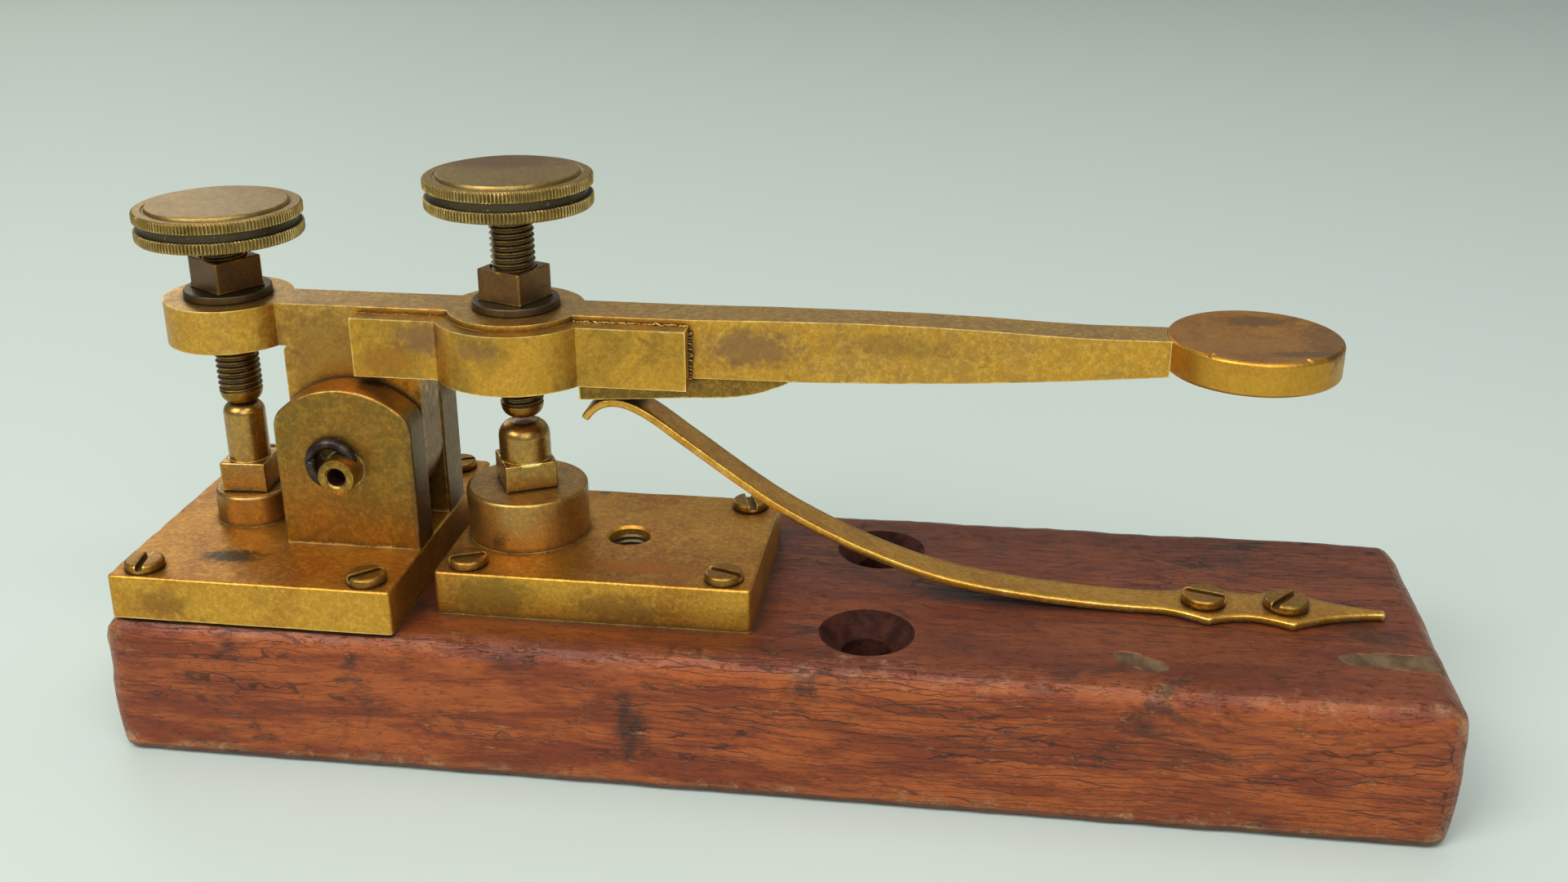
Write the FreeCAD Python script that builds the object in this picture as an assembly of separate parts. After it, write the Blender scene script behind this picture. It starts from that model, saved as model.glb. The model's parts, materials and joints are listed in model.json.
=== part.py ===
import FreeCAD, Part
import math
import os
from FreeCAD import Vector

# A straight morse key on a hardwood base. Millimetres, +Z up, +X from the adjusting
# screws towards the finger disc, origin at the middle of the underside of the base.

# ---- driving dimensions ----
base_length, base_width, base_height = 220.0, 60.0, 25.0
base_round = 3.0
key_y = -1.7                 # centre line of the lever and of everything that works with it
plate_thickness = 7.65
plate_top = base_height + plate_thickness

rear_plate_x = (-106.85, -58.66)
rear_plate_y = (-28.6, 26.8)
front_plate_x = (-54.27, -1.33)
front_plate_y = (-20.3, 16.0)
plate_screw_inset = (5.0, 3.8)

rear_screw_x = -92.7
front_screw_x = -42.9
disc_x = 75.6
pivot_x, pivot_z = -70.6, 47.0

lever_half_width = 4.2
lever_top = 73.1
lever_bottom = 63.2
lug_radius = 11.6
rear_boss_radius, rear_boss_bottom = 10.6, 65.7
front_boss_radius, front_boss_bottom = 11.3, 62.1
neck_x = 62.2                # where the arm meets the finger disc
disc_radius, disc_bottom = 13.5, 67.6

cheek_half_width = 11.85
cheek_top = 60.8
front_cheek_y = (-12.8, -6.1)
rear_cheek_y = (2.8, 10.9)

pin_radius, pin_bore = 3.1, 1.5
pin_front_y = -17.1
pin_head_radius, pin_head_thickness = 4.6, 1.6

screw_radius, screw_pitch = 3.65, 1.0
running_gap = 0.05           # radial clearance of every turning fit
knob_radius, groove_radius, plateau_radius = 13.6, 12.7, 11.4
knob_rim_height, knob_groove_height, plateau_height = 1.75, 1.85, 0.35
rear_knob_top, front_knob_top = 88.9, 95.6
washer_radius, washer_thickness = 7.4, 1.4
nut_side, nut_height = 8.5, 5.3
rear_nut_turn, front_nut_turn = -33.5, -21.7

rear_contact_z = 54.0        # the rear contacts touch when the key is at rest
front_anvil_z = 52.95
contact_gap = 1.0            # travel of the front contact
tip_height, tip_face_radius = 2.3, 1.8

mount_hole_x, mount_hole_spacing = 17.2, 31.0
mount_hole_radius, countersink_radius = 4.15, 7.6
terminal_x, terminal_y, terminal_radius = -25.15, -2.2, 3.55

spring_thickness, spring_half_width = 1.35, 3.35
spring_screw_x = (72.0, 85.4)


# ---- small helpers ----
def box(x, y, z):
    """Box from three (low, high) pairs."""
    return Part.makeBox(x[1] - x[0], y[1] - y[0], z[1] - z[0], Vector(x[0], y[0], z[0]))


def post(x, y, z, radius):
    """Upright cylinder from z[0] to z[1]."""
    return Part.makeCylinder(radius, z[1] - z[0], Vector(x, y, z[0]))


def cross_pin(x, z, y, radius):
    """Cylinder along +Y from y[0] to y[1]."""
    return Part.makeCylinder(radius, y[1] - y[0], Vector(x, y[0], z), Vector(0, 1, 0))


def cone(x, y, z, radius_low, radius_high):
    return Part.makeCone(radius_low, radius_high, z[1] - z[0], Vector(x, y, z[0]))


def turned(x, y, profile):
    """Solid of revolution about the upright line through (x, y); profile is [(radius, z), ...]."""
    points = [Vector(radius, 0, z) for radius, z in profile]
    face = Part.Face(Part.makePolygon(points + points[:1]))
    solid = face.revolve(Vector(0, 0, 0), Vector(0, 0, 1), 360)
    solid.translate(Vector(x, y, 0))
    return solid


def side_profile(edges, y):
    """Face drawn in the XZ plane from joined edges, extruded from y[0] to y[1]."""
    face = Part.Face(Part.Wire(edges))
    face.translate(Vector(0, y[0], 0))
    return face.extrude(Vector(0, y[1] - y[0], 0))


def line(a, b):
    return Part.LineSegment(Vector(*a), Vector(*b)).toShape()


def arc(a, middle, b):
    return Part.Arc(Vector(*a), Vector(*middle), Vector(*b)).toShape()


def upright_edges(shape):
    """Edges of a box-like shape that run along Z."""
    found = []
    for edge in shape.Edges:
        ends = [vertex.Point for vertex in edge.Vertexes]
        if len(ends) == 2 and abs(ends[0].z - ends[1].z) > 0.9 * edge.Length:
            found.append(edge)
    return found


def top_edges(shape, z):
    return [edge for edge in shape.Edges if abs(edge.BoundBox.ZMin - z) < 1e-6]


def turn_about_z(shape, x, y, degrees):
    shape.rotate(Vector(x, y, 0), Vector(0, 0, 1), degrees)
    return shape


# ---- screws ----
plate_screw = {"head": 3.2, "head_height": 1.55, "shank": 1.7, "depth": 9.0}
spring_screw = {"head": 3.65, "head_height": 1.7, "shank": 1.9, "depth": 11.0}
slot_width, slot_depth = 1.25, 0.95
pilot_gap = 0.1


def slotted_screw(x, y, seat, size, slot_angle):
    """Wood screw whose head sits on z = seat; the point is a cone."""
    head = post(x, y, (seat, seat + size["head_height"]), size["head"])
    head = head.makeFillet(0.45, top_edges(head, seat + size["head_height"]))
    slot = box((x - 2 * size["head"], x + 2 * size["head"]), (y - slot_width / 2, y + slot_width / 2),
               (seat + size["head_height"] - slot_depth, seat + size["head_height"] + 1))
    head = head.cut(turn_about_z(slot, x, y, slot_angle))
    point_z = base_height - size["depth"]
    shank = post(x, y, (point_z, seat), size["shank"])
    point = cone(x, y, (point_z - 3, point_z), 0.2, size["shank"])
    return head.fuse([shank, point]).removeSplitter()


def screw_hole(x, y, top, size):
    """Clearance for the shank and the point, up to z = top."""
    radius = size["shank"] + pilot_gap
    point_z = base_height - size["depth"]
    shank = post(x, y, (point_z, top), radius)
    point = cone(x, y, (point_z - 3.3, point_z), 0.2, radius)
    return shank.fuse(point)


def corner_positions(x, y):
    inset_x, inset_y = plate_screw_inset
    return [(px, py) for py in (y[0] + inset_y, y[1] - inset_y) for px in (x[0] + inset_x, x[1] - inset_x)]


rear_screw_places = list(zip(corner_positions(rear_plate_x, rear_plate_y), (100, 43, 70, 25)))
front_screw_places = list(zip(corner_positions(front_plate_x, front_plate_y), (24, -20, 60, 108)))


def screw_group(places, seat, size):
    return Part.makeCompound([slotted_screw(x, y, seat, size, angle) for (x, y), angle in places])


spring_screw_places = list(zip([(x, key_y) for x in spring_screw_x], (-17, 51)))
foot_top = base_height + spring_thickness

# Hidden countersunk screws that hold the cheeks from under the rear plate.
cheek_screw_radius, cheek_screw_length = 1.5, 14.0
cheek_screw_places = [(pivot_x + dx, sum(y) / 2) for y in (front_cheek_y, rear_cheek_y) for dx in (-7.0, 7.0)]


def countersunk_from_below(x, y, gap):
    low = base_height
    head = cone(x, y, (low, low + 1.8), cheek_screw_radius + 1.8 + gap, cheek_screw_radius + gap)
    shank = post(x, y, (low, low + cheek_screw_length + gap), cheek_screw_radius + gap)
    return head.fuse(shank).removeSplitter()


def cheek_screws():
    return Part.makeCompound([countersunk_from_below(x, y, 0.0) for x, y in cheek_screw_places])


def cheek_screw_holes():
    return [countersunk_from_below(x, y, pilot_gap) for x, y in cheek_screw_places]


# ---- base and plates ----
def base_block():
    block = box((-base_length / 2, base_length / 2), (-base_width / 2, base_width / 2), (0, base_height))
    block = block.makeFillet(base_round, block.Edges)
    cuts = []
    sink = countersink_radius - mount_hole_radius
    for side in (-1, 1):
        y = key_y + side * mount_hole_spacing / 2
        cuts.append(post(mount_hole_x, y, (-1, base_height + 1), mount_hole_radius))
        cuts.append(cone(mount_hole_x, y, (base_height - sink, base_height + 1),
                         mount_hole_radius, countersink_radius + 1))
    for (x, y), angle in rear_screw_places + front_screw_places:
        cuts.append(screw_hole(x, y, base_height + 1, plate_screw))
    for (x, y), angle in spring_screw_places:
        cuts.append(screw_hole(x, y, base_height + 1, spring_screw))
    return block.cut(cuts)


def plate(x, y):
    blank = box(x, y, (base_height, plate_top))
    blank = blank.makeFillet(0.8, upright_edges(blank))
    return blank.makeFillet(0.5, top_edges(blank, plate_top))


def rear_plate():
    blank = plate(rear_plate_x, rear_plate_y)
    cuts = [screw_hole(px, py, plate_top + 1, plate_screw) for (px, py), angle in rear_screw_places]
    cuts += cheek_screw_holes()
    cuts.append(stud_hole(rear_anvil))
    return blank.cut(cuts)


def front_plate():
    blank = plate(front_plate_x, front_plate_y)
    cuts = [screw_hole(px, py, plate_top + 1, plate_screw) for (px, py), angle in front_screw_places]
    cuts.append(post(terminal_x, terminal_y, (base_height - 1, plate_top + 1), terminal_radius))
    cuts.append(stud_hole(front_anvil))
    return blank.cut(cuts)


# ---- pivot: two cheeks, a hollow pin and its wire ring ----
def cheek(y):
    """Flat cheek with a low arched top and rounded shoulders."""
    half, shoulder = cheek_half_width, 5.4
    left, right = pivot_x - half, pivot_x + half
    spring_line = cheek_top - shoulder
    outline = [
        line((left, 0, plate_top), (right, 0, plate_top)),
        line((right, 0, plate_top), (right, 0, spring_line)),
        arc((right, 0, spring_line), (pivot_x, 0, cheek_top), (left, 0, spring_line)),
        line((left, 0, spring_line), (left, 0, plate_top)),
    ]
    blank = side_profile(outline, y)
    shoulders = [edge for edge in blank.Edges if abs(edge.BoundBox.ZMin - spring_line) < 1e-6
                 and abs(edge.BoundBox.ZMax - spring_line) < 1e-6]
    blank = blank.makeFillet(4.5, shoulders)
    bore = cross_pin(pivot_x, pivot_z, (y[0] - 1, y[1] + 1), pin_radius + 0.02)
    return blank.cut([bore] + cheek_screw_holes())


clip = {"dx": -2.3, "dz": 1.1, "radius": 4.3, "wire": 0.7}
clip_y = front_cheek_y[0] - clip["wire"] - 0.1


def clip_ring(wire_radius, sweep):
    centre = Vector(pivot_x + clip["dx"], clip_y, pivot_z + clip["dz"])
    ring = Part.makeTorus(clip["radius"], wire_radius, centre, Vector(0, 1, 0), -180, 180, sweep)
    ring.rotate(centre, Vector(0, 1, 0), 165)
    return ring


def pin_clip():
    """Open wire ring that goes through the cross hole of the pin."""
    return clip_ring(clip["wire"], 335)


def pivot_pin():
    back = rear_cheek_y[1]
    shaft = cross_pin(pivot_x, pivot_z, (pin_front_y, back + pin_head_thickness), pin_radius)
    head = cross_pin(pivot_x, pivot_z, (back, back + pin_head_thickness), pin_head_radius)
    bore = cross_pin(pivot_x, pivot_z, (pin_front_y - 1, back + 3), pin_bore)
    return shaft.fuse(head).cut([bore, clip_ring(clip["wire"] + 0.12, 360)]).removeSplitter()


# ---- contact posts ----
stud_radius, stud_depth = 2.5, 6.0
rear_anvil = {"x": rear_screw_x, "radius": 3.5, "shoulder": 1.3, "top": rear_contact_z - 0.03,
              "pedestal": 6.55, "pedestal_top": 38.3, "collar_side": 8.05, "collar_top": 43.65,
              "turn": 3.0, "inset": 1.7}
front_anvil = {"x": front_screw_x, "radius": 4.35, "shoulder": 2.2, "top": front_anvil_z,
               "pedestal": 10.35, "pedestal_top": 41.6, "collar_side": 8.9, "collar_top": 46.4,
               "turn": 28.0, "inset": 2.0}
inset_depth = 1.2


def stud_hole(size):
    return post(size["x"], key_y, (plate_top - stud_depth - 0.1, plate_top + 1), stud_radius + 0.02)


def pedestal(size):
    body = post(size["x"], key_y, (plate_top, size["pedestal_top"]), size["pedestal"])
    body = body.makeFillet(0.6, top_edges(body, size["pedestal_top"]))
    return body.cut(post(size["x"], key_y, (plate_top - 1, size["pedestal_top"] + 1), stud_radius + 0.02))


def anvil(size):
    """Domed post on a square collar, with a stud that screws down through the pedestal."""
    x, half = size["x"], size["collar_side"] / 2
    column = post(x, key_y, (size["collar_top"] - 1, size["top"]), size["radius"])
    column = column.makeFillet(size["shoulder"], top_edges(column, size["top"]))
    collar = box((x - half, x + half), (key_y - half, key_y + half),
                 (size["pedestal_top"], size["collar_top"]))
    collar = turn_about_z(collar, x, key_y, size["turn"])
    stud = post(x, key_y, (plate_top - stud_depth, size["pedestal_top"] + 1), stud_radius)
    seat = post(x, key_y, (size["top"] - inset_depth, size["top"] + 1), size["inset"])
    return column.fuse([collar, stud]).removeSplitter().cut(seat)


def anvil_contact(size):
    return post(size["x"], key_y, (size["top"] - inset_depth, size["top"]), size["inset"])


# ---- lever ----
def lever():
    """Flat bar with a lug down to the pivot, two screw bosses and a long tapering arm."""
    lug_left, lug_right = pivot_x - lug_radius, pivot_x + lug_radius
    low, top = lever_bottom, lever_top
    outline = [
        arc((lug_left, 0, pivot_z), (pivot_x, 0, pivot_z - lug_radius), (lug_right, 0, pivot_z)),
        line((lug_right, 0, pivot_z), (lug_right, 0, low)),
        line((lug_right, 0, low), (0, 0, low)),
        arc((0, 0, low), (33, 0, low + 1.1), (neck_x + 1, 0, low + 3.7)),
        line((neck_x + 1, 0, low + 3.7), (neck_x + 1, 0, top - 0.4)),
        line((neck_x + 1, 0, top - 0.4), (51, 0, top - 0.5)),
        arc((51, 0, top - 0.5), (15, 0, top + 0.4), (-13, 0, top)),
        line((-13, 0, top), (rear_screw_x, 0, top)),
        line((rear_screw_x, 0, top), (rear_screw_x, 0, rear_boss_bottom)),
        line((rear_screw_x, 0, rear_boss_bottom), (lug_left, 0, rear_boss_bottom)),
        line((lug_left, 0, rear_boss_bottom), (lug_left, 0, pivot_z)),
    ]
    half = lever_half_width
    bar = side_profile(outline, (key_y - half, key_y + half))
    slim = half - 0.5
    for side in (-1, 1):
        taper = Part.makePolygon([
            Vector(-13, key_y + side * half, 0),
            Vector(12, key_y + side * slim, 0),
            Vector(neck_x + 2, key_y + side * slim, 0),
            Vector(neck_x + 2, key_y + side * (half + 1), 0),
            Vector(-13, key_y + side * (half + 1), 0),
            Vector(-13, key_y + side * half, 0),
        ])
        bar = bar.cut(Part.Face(taper).extrude(Vector(0, 0, 100)))
    rear_boss = post(rear_screw_x, key_y, (rear_boss_bottom, top), rear_boss_radius)
    front_boss = post(front_screw_x, key_y, (front_boss_bottom, top), front_boss_radius)
    body = bar.fuse([rear_boss, front_boss]).removeSplitter()
    return body.cut([
        post(rear_screw_x, key_y, (0, 100), screw_radius + running_gap),
        post(front_screw_x, key_y, (0, 100), screw_radius + running_gap),
        cross_pin(pivot_x, pivot_z, (-20, 20), pin_radius + running_gap),
        post(disc_x, key_y, (0, 100), disc_radius),
    ]).fuse(tenon(0.0)).removeSplitter()


def tenon(gap):
    """Short tongue that joins the arm to the finger disc."""
    half_y, half_z, middle = 1.6 + gap, 1.4 + gap, 70.0
    return box((neck_x - 1, neck_x + 4 + gap), (key_y - half_y, key_y + half_y), (middle - half_z, middle + half_z))


def finger_disc():
    """Thick disc with a shallow dish on top."""
    dish_radius, dish_depth = 11.6, 0.75
    ball = (dish_radius ** 2 + dish_depth ** 2) / (2 * dish_depth)
    disc = post(disc_x, key_y, (disc_bottom, lever_top), disc_radius)
    disc = disc.makeFillet(0.5, [edge for edge in disc.Edges if edge.Closed])
    dish = Part.makeSphere(ball, Vector(disc_x, key_y, lever_top - dish_depth + ball))
    return disc.cut([dish, tenon(0.02)])


def side_strap():
    """Strap soldered to the front side: two flat wings and a half round around the boss."""
    low, top = front_boss_bottom, lever_top - 1.0
    bar_face = key_y - lever_half_width
    wings = box((-68.9, -13.3), (bar_face - 3.3, bar_face), (low, top))
    bulge = post(front_screw_x, key_y, (low, top), 13.9)
    behind = box((-80, 0), (bar_face, 20), (low - 1, top + 1))
    boss = post(front_screw_x, key_y, (low - 1, top + 1), front_boss_radius)
    return wings.fuse(bulge).cut([behind, boss]).removeSplitter()


def spring_pad():
    """Brass wedge under the lever that the leaf spring bears on."""
    top = lever_bottom
    outline = [
        line((-35.6, 0, top), (-35.6, 0, top - 4.2)),
        line((-35.6, 0, top - 4.2), (-34.4, 0, top - 5.1)),
        line((-34.4, 0, top - 5.1), (-12.3, 0, top - 3.6)),
        arc((-12.3, 0, top - 3.6), (-3.0, 0, top - 2.6), (3.4, 0, top)),
        line((3.4, 0, top), (-35.6, 0, top)),
    ]
    boss = post(front_screw_x, key_y, (50, 70), front_boss_radius)
    return side_profile(outline, (key_y - 3.4, key_y + 3.4)).cut(boss)


# ---- leaf spring ----
# The top of the strip from the foot, up the long sweep, to the crest and the curled tip.
spring_line = [(62.0, 26.35), (48.5, 26.65), (30.0, 29.3), (15.0, 34.0), (0.0, 41.9),
               (-15.0, 52.5), (-21.5, 57.4), (-26.4, 58.5), (-30.0, 57.1), (-32.0, 55.2)]


def leaf_spring():
    """Bent strip with a foot of two pointed lobes and a tapering tail."""
    curve = Part.BSplineCurve()
    curve.interpolate(Points=[Vector(x, 0, z) for x, z in spring_line], InitialTangent=Vector(-1, 0, 0),
                      FinalTangent=Vector(-0.6, 0, -0.8))
    top = curve.toShape()
    count = 60
    lower = []
    for step in range(count + 1):
        u = curve.FirstParameter + (curve.LastParameter - curve.FirstParameter) * step / count
        along = curve.tangent(u)[0]
        lower.append(curve.value(u) + Vector(along.z, 0, -along.x).multiply(-spring_thickness))
    under_curve = Part.BSplineCurve()
    under_curve.interpolate(Points=lower)
    under = under_curve.toShape()
    half = spring_half_width
    strip = side_profile([
        top,
        Part.LineSegment(curve.value(curve.LastParameter), lower[-1]).toShape(),
        under,
        Part.LineSegment(lower[0], curve.value(curve.FirstParameter)).toShape(),
    ], (key_y - half, key_y + half))

    # Half of the foot outline, as (x, half width), from the strip to the end of the tail.
    half_outline = [(61.9, half), (66.0, half), (72.2, 6.3), (79.0, 4.3), (85.7, 6.3), (90.8, 4.2), (101.3, 1.6)]
    points = [Vector(x, key_y - w, base_height) for x, w in half_outline]
    points += [Vector(x, key_y + w, base_height) for x, w in reversed(half_outline)]
    foot = Part.Face(Part.makePolygon(points + points[:1])).extrude(Vector(0, 0, spring_thickness))
    holes = [screw_hole(x, y, 40, spring_screw) for (x, y), angle in spring_screw_places]
    return strip.fuse(foot).removeSplitter().cut(holes)


# ---- adjusting screws, knobs, nuts and washers ----
def adjusting_screw(x, tip_z, knob_top):
    """Threaded rod with ring grooves for the thread; its lower end takes the contact tip."""
    low = tip_z + tip_height
    high = knob_top - 1.6
    crest, root = screw_radius, screw_radius - 0.5
    turns = int((high - 6.0 - low) / screw_pitch)
    profile = [(0, low), (crest, low)]
    for turn in range(turns):
        z = low + 0.2 + turn * screw_pitch
        profile += [(crest, z), (root, z + 0.4 * screw_pitch), (crest, z + 0.8 * screw_pitch)]
    profile += [(crest, high), (0, high)]
    rod = turned(x, key_y, profile)
    return rod.cut(post(x, key_y, (low - 1, low + 4.2), 1.5 + running_gap))


def contact_tip(x, tip_z):
    """Blunt domed tip with a spigot that goes up into the screw."""
    high = tip_z + tip_height
    dome = post(x, key_y, (tip_z, high), screw_radius)
    dome = dome.makeFillet(screw_radius - tip_face_radius, top_edges_low(dome, tip_z))
    return dome.fuse(post(x, key_y, (high - 0.5, high + 4.0), 1.5)).removeSplitter()


def top_edges_low(shape, z):
    return [edge for edge in shape.Edges if abs(edge.BoundBox.ZMax - z) < 1e-6]


def knob(x, top):
    """Two knurled rims with a groove between them and a raised plateau on top."""
    rim_top = top - plateau_height
    rim_low = rim_top - knob_rim_height
    groove_low = rim_low - knob_groove_height
    bottom = groove_low - knob_rim_height
    body = turned(x, key_y, [
        (0, bottom), (knob_radius - 0.4, bottom), (knob_radius, bottom + 0.3), (knob_radius, groove_low),
        (groove_radius, groove_low), (groove_radius, rim_low), (knob_radius, rim_low),
        (knob_radius, rim_top - 0.25), (knob_radius - 0.4, rim_top), (plateau_radius + 0.5, rim_top),
        (plateau_radius, top), (0, top),
    ])
    return body.cut(post(x, key_y, (bottom - 1, top - 1.6), screw_radius + 0.02))


def washer(x):
    ring = post(x, key_y, (lever_top, lever_top + washer_thickness), washer_radius)
    ring = ring.makeFillet(0.35, top_edges(ring, lever_top + washer_thickness))
    return ring.cut(post(x, key_y, (0, 100), screw_radius + 0.2))


def lock_nut(x, turn):
    """Square nut, slightly wider at its foot."""
    low = lever_top + washer_thickness + 0.02
    sections = []
    for z, side in ((low, nut_side + 0.5), (low + nut_height, nut_side)):
        half = side / 2
        corners = [Vector(x - half, key_y - half, z), Vector(x + half, key_y - half, z),
                   Vector(x + half, key_y + half, z), Vector(x - half, key_y + half, z)]
        sections.append(Part.makePolygon(corners + corners[:1]))
    body = Part.makeLoft(sections, True, True)
    body = body.cut(post(x, key_y, (0, 100), screw_radius + running_gap))
    return turn_about_z(body, x, key_y, turn)


front_tip_z = front_anvil_z + contact_gap

nodes = {
    "base_block": base_block(),
    "rear_plate": rear_plate(),
    "front_plate": front_plate(),
    "rear_plate_screws": screw_group(rear_screw_places, plate_top, plate_screw),
    "front_plate_screws": screw_group(front_screw_places, plate_top, plate_screw),
    "front_cheek": cheek(front_cheek_y),
    "rear_cheek": cheek(rear_cheek_y),
    "cheek_screws": cheek_screws(),
    "pivot_pin": pivot_pin(),
    "pin_clip": pin_clip(),
    "rear_pedestal": pedestal(rear_anvil),
    "front_pedestal": pedestal(front_anvil),
    "rear_anvil": anvil(rear_anvil),
    "front_anvil": anvil(front_anvil),
    "rear_anvil_contact": anvil_contact(rear_anvil),
    "front_anvil_contact": anvil_contact(front_anvil),
    "leaf_spring": leaf_spring(),
    "spring_screws": screw_group(spring_screw_places, foot_top, spring_screw),
    "lever": lever(),
    "side_strap": side_strap(),
    "spring_pad": spring_pad(),
    "finger_disc": finger_disc(),
    "rear_washer": washer(rear_screw_x),
    "front_washer": washer(front_screw_x),
    "rear_lock_nut": lock_nut(rear_screw_x, rear_nut_turn),
    "front_lock_nut": lock_nut(front_screw_x, front_nut_turn),
    "rear_contact_tip": contact_tip(rear_screw_x, rear_contact_z),
    "front_contact_tip": contact_tip(front_screw_x, front_tip_z),
    "rear_adjusting_screw": adjusting_screw(rear_screw_x, rear_contact_z, rear_knob_top),
    "front_adjusting_screw": adjusting_screw(front_screw_x, front_tip_z, front_knob_top),
    "rear_knob": knob(rear_screw_x, rear_knob_top),
    "front_knob": knob(front_screw_x, front_knob_top),
}

os.makedirs("parts", exist_ok=True)
for name, shape in nodes.items():
    shape.exportStep("parts/" + name + ".step")
    bounds = shape.BoundBox
    print(name, "solids", len(shape.Solids), "valid", shape.isValid(), "volume", round(shape.Volume, 1),
          "z", round(bounds.ZMin, 2), round(bounds.ZMax, 2))
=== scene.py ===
import json
import math
import random

import bmesh
import bpy
from mathutils import Matrix, Vector, geometry, noise


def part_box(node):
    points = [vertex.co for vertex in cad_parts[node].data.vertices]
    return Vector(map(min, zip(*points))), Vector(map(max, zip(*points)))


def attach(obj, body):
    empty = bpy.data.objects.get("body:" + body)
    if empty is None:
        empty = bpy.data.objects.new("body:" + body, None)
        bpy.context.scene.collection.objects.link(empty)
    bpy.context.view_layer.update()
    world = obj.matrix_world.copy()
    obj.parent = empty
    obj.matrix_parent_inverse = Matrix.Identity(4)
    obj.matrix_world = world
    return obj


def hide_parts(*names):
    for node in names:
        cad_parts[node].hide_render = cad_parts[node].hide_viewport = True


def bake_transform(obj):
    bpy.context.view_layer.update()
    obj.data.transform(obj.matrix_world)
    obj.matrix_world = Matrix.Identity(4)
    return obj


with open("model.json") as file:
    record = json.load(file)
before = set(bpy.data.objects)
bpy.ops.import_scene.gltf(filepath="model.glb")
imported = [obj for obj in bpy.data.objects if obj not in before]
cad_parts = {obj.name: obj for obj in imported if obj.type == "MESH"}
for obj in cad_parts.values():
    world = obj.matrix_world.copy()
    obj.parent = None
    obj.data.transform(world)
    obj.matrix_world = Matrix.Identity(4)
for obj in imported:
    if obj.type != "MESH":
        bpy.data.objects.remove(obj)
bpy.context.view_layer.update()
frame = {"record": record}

mm = 0.001
joints = {joint["name"]: joint for joint in frame["record"]["behaviour"]["joints"]}
mounts = {mount["name"]: mount for mount in frame["record"]["mounts"]}
pivotX, _, pivotZ = (value / mm for value in joints["lever_pivot"]["pos_m"])
keyY = (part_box("front_knob")[0].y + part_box("front_knob")[1].y) / 2 / mm  # centre line of the lever


def cad(node):
    # lowest and highest corner of a CAD node, in millimetres
    low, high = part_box(node)
    return low / mm, high / mm


def middle(node):
    low, high = cad(node)
    return (low + high) / 2


# mesh helpers, all in millimetres

def moveAll(bm, step):
    bmesh.ops.translate(bm, verts=bm.verts[:], vec=step)


def faceOutward(bm):
    bmesh.ops.recalc_face_normals(bm, faces=bm.faces[:])


def roundEdges(bm, edges, width, segments=3):
    bmesh.ops.bevel(bm, geom=edges, offset=width, offset_type="OFFSET", segments=segments, profile=0.5,
                    affect="EDGES", clamp_overlap=True, material=-1)


def sliceAt(bm, spot, normal, clearOuter=False):
    bmesh.ops.bisect_plane(bm, geom=bm.verts[:] + bm.edges[:] + bm.faces[:], plane_co=spot, plane_no=normal,
                           clear_outer=clearOuter)


def addBlock(bm, low, high):
    size = Vector(high) - Vector(low)
    place = Matrix.Translation((Vector(low) + Vector(high)) / 2) @ Matrix.Diagonal((*size, 1))
    return bmesh.ops.create_cube(bm, size=1, matrix=place)["verts"]


def addTurned(bm, profile, steps=64, centre=(0, 0, 0)):
    # profile is (radius, z) pairs; ends on the axis are closed by the merge
    verts = [bm.verts.new((radius, 0, z)) for radius, z in profile]
    edges = [bm.edges.new(pair) for pair in zip(verts, verts[1:])]
    bmesh.ops.spin(bm, geom=verts + edges, cent=(0, 0, 0), axis=(0, 0, 1), dvec=(0, 0, 0),
                   angle=math.tau, steps=steps, use_merge=True, use_duplicate=False)
    bmesh.ops.remove_doubles(bm, verts=bm.verts[:], dist=1e-4)
    moveAll(bm, centre)


def turnedTool(profile, steps, centre=(0, 0, 0)):
    # a turned solid of its own, for cutting or joining
    tool = bmesh.new()
    addTurned(tool, profile, steps, centre)
    faceOutward(tool)
    return tool


def roundCorner(cx, cz, radius, start, end, steps=4):
    # points of an arc, for profiles; angles in degrees
    angles = [math.radians(start + (end - start) * i / steps) for i in range(steps + 1)]
    return [(cx + radius * math.cos(a), cz + radius * math.sin(a)) for a in angles]


def addOutline(bm, points, depth):
    # a closed outline in the XZ plane, made solid along +Y
    face = bm.faces.new([bm.verts.new((x, 0, z)) for x, z in points])
    grown = bmesh.ops.extrude_face_region(bm, geom=[face])["geom"]
    bmesh.ops.translate(bm, verts=[v for v in grown if isinstance(v, bmesh.types.BMVert)],
                        vec=(0, depth, 0))
    faceOutward(bm)


def bevelSharp(bm, width, segments=3, angle=32):
    sharp = [e for e in bm.edges if len(e.link_faces) == 2 and e.calc_face_angle() > math.radians(angle)]
    roundEdges(bm, sharp, width, segments)


def cutGrid(bm, axis, step):
    # cut the whole mesh by evenly spaced planes, so that it can be dented and worn
    values = [v.co[axis] for v in bm.verts]
    normal = Vector((0, 0, 0))
    normal[axis] = 1
    count = int((max(values) - min(values)) / step)
    for i in range(1, count):
        spot = normal * (min(values) + (max(values) - min(values)) * i / count)
        sliceAt(bm, spot, normal)


def asMesh(bm, name):
    mesh = bpy.data.meshes.new(name)
    bm.to_mesh(mesh)
    return mesh


def addCopy(bm, part):
    # joins a finished small mesh into a larger one
    mesh = asMesh(part, "part")
    part.free()
    bm.from_mesh(mesh)
    bpy.data.meshes.remove(mesh)


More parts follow.
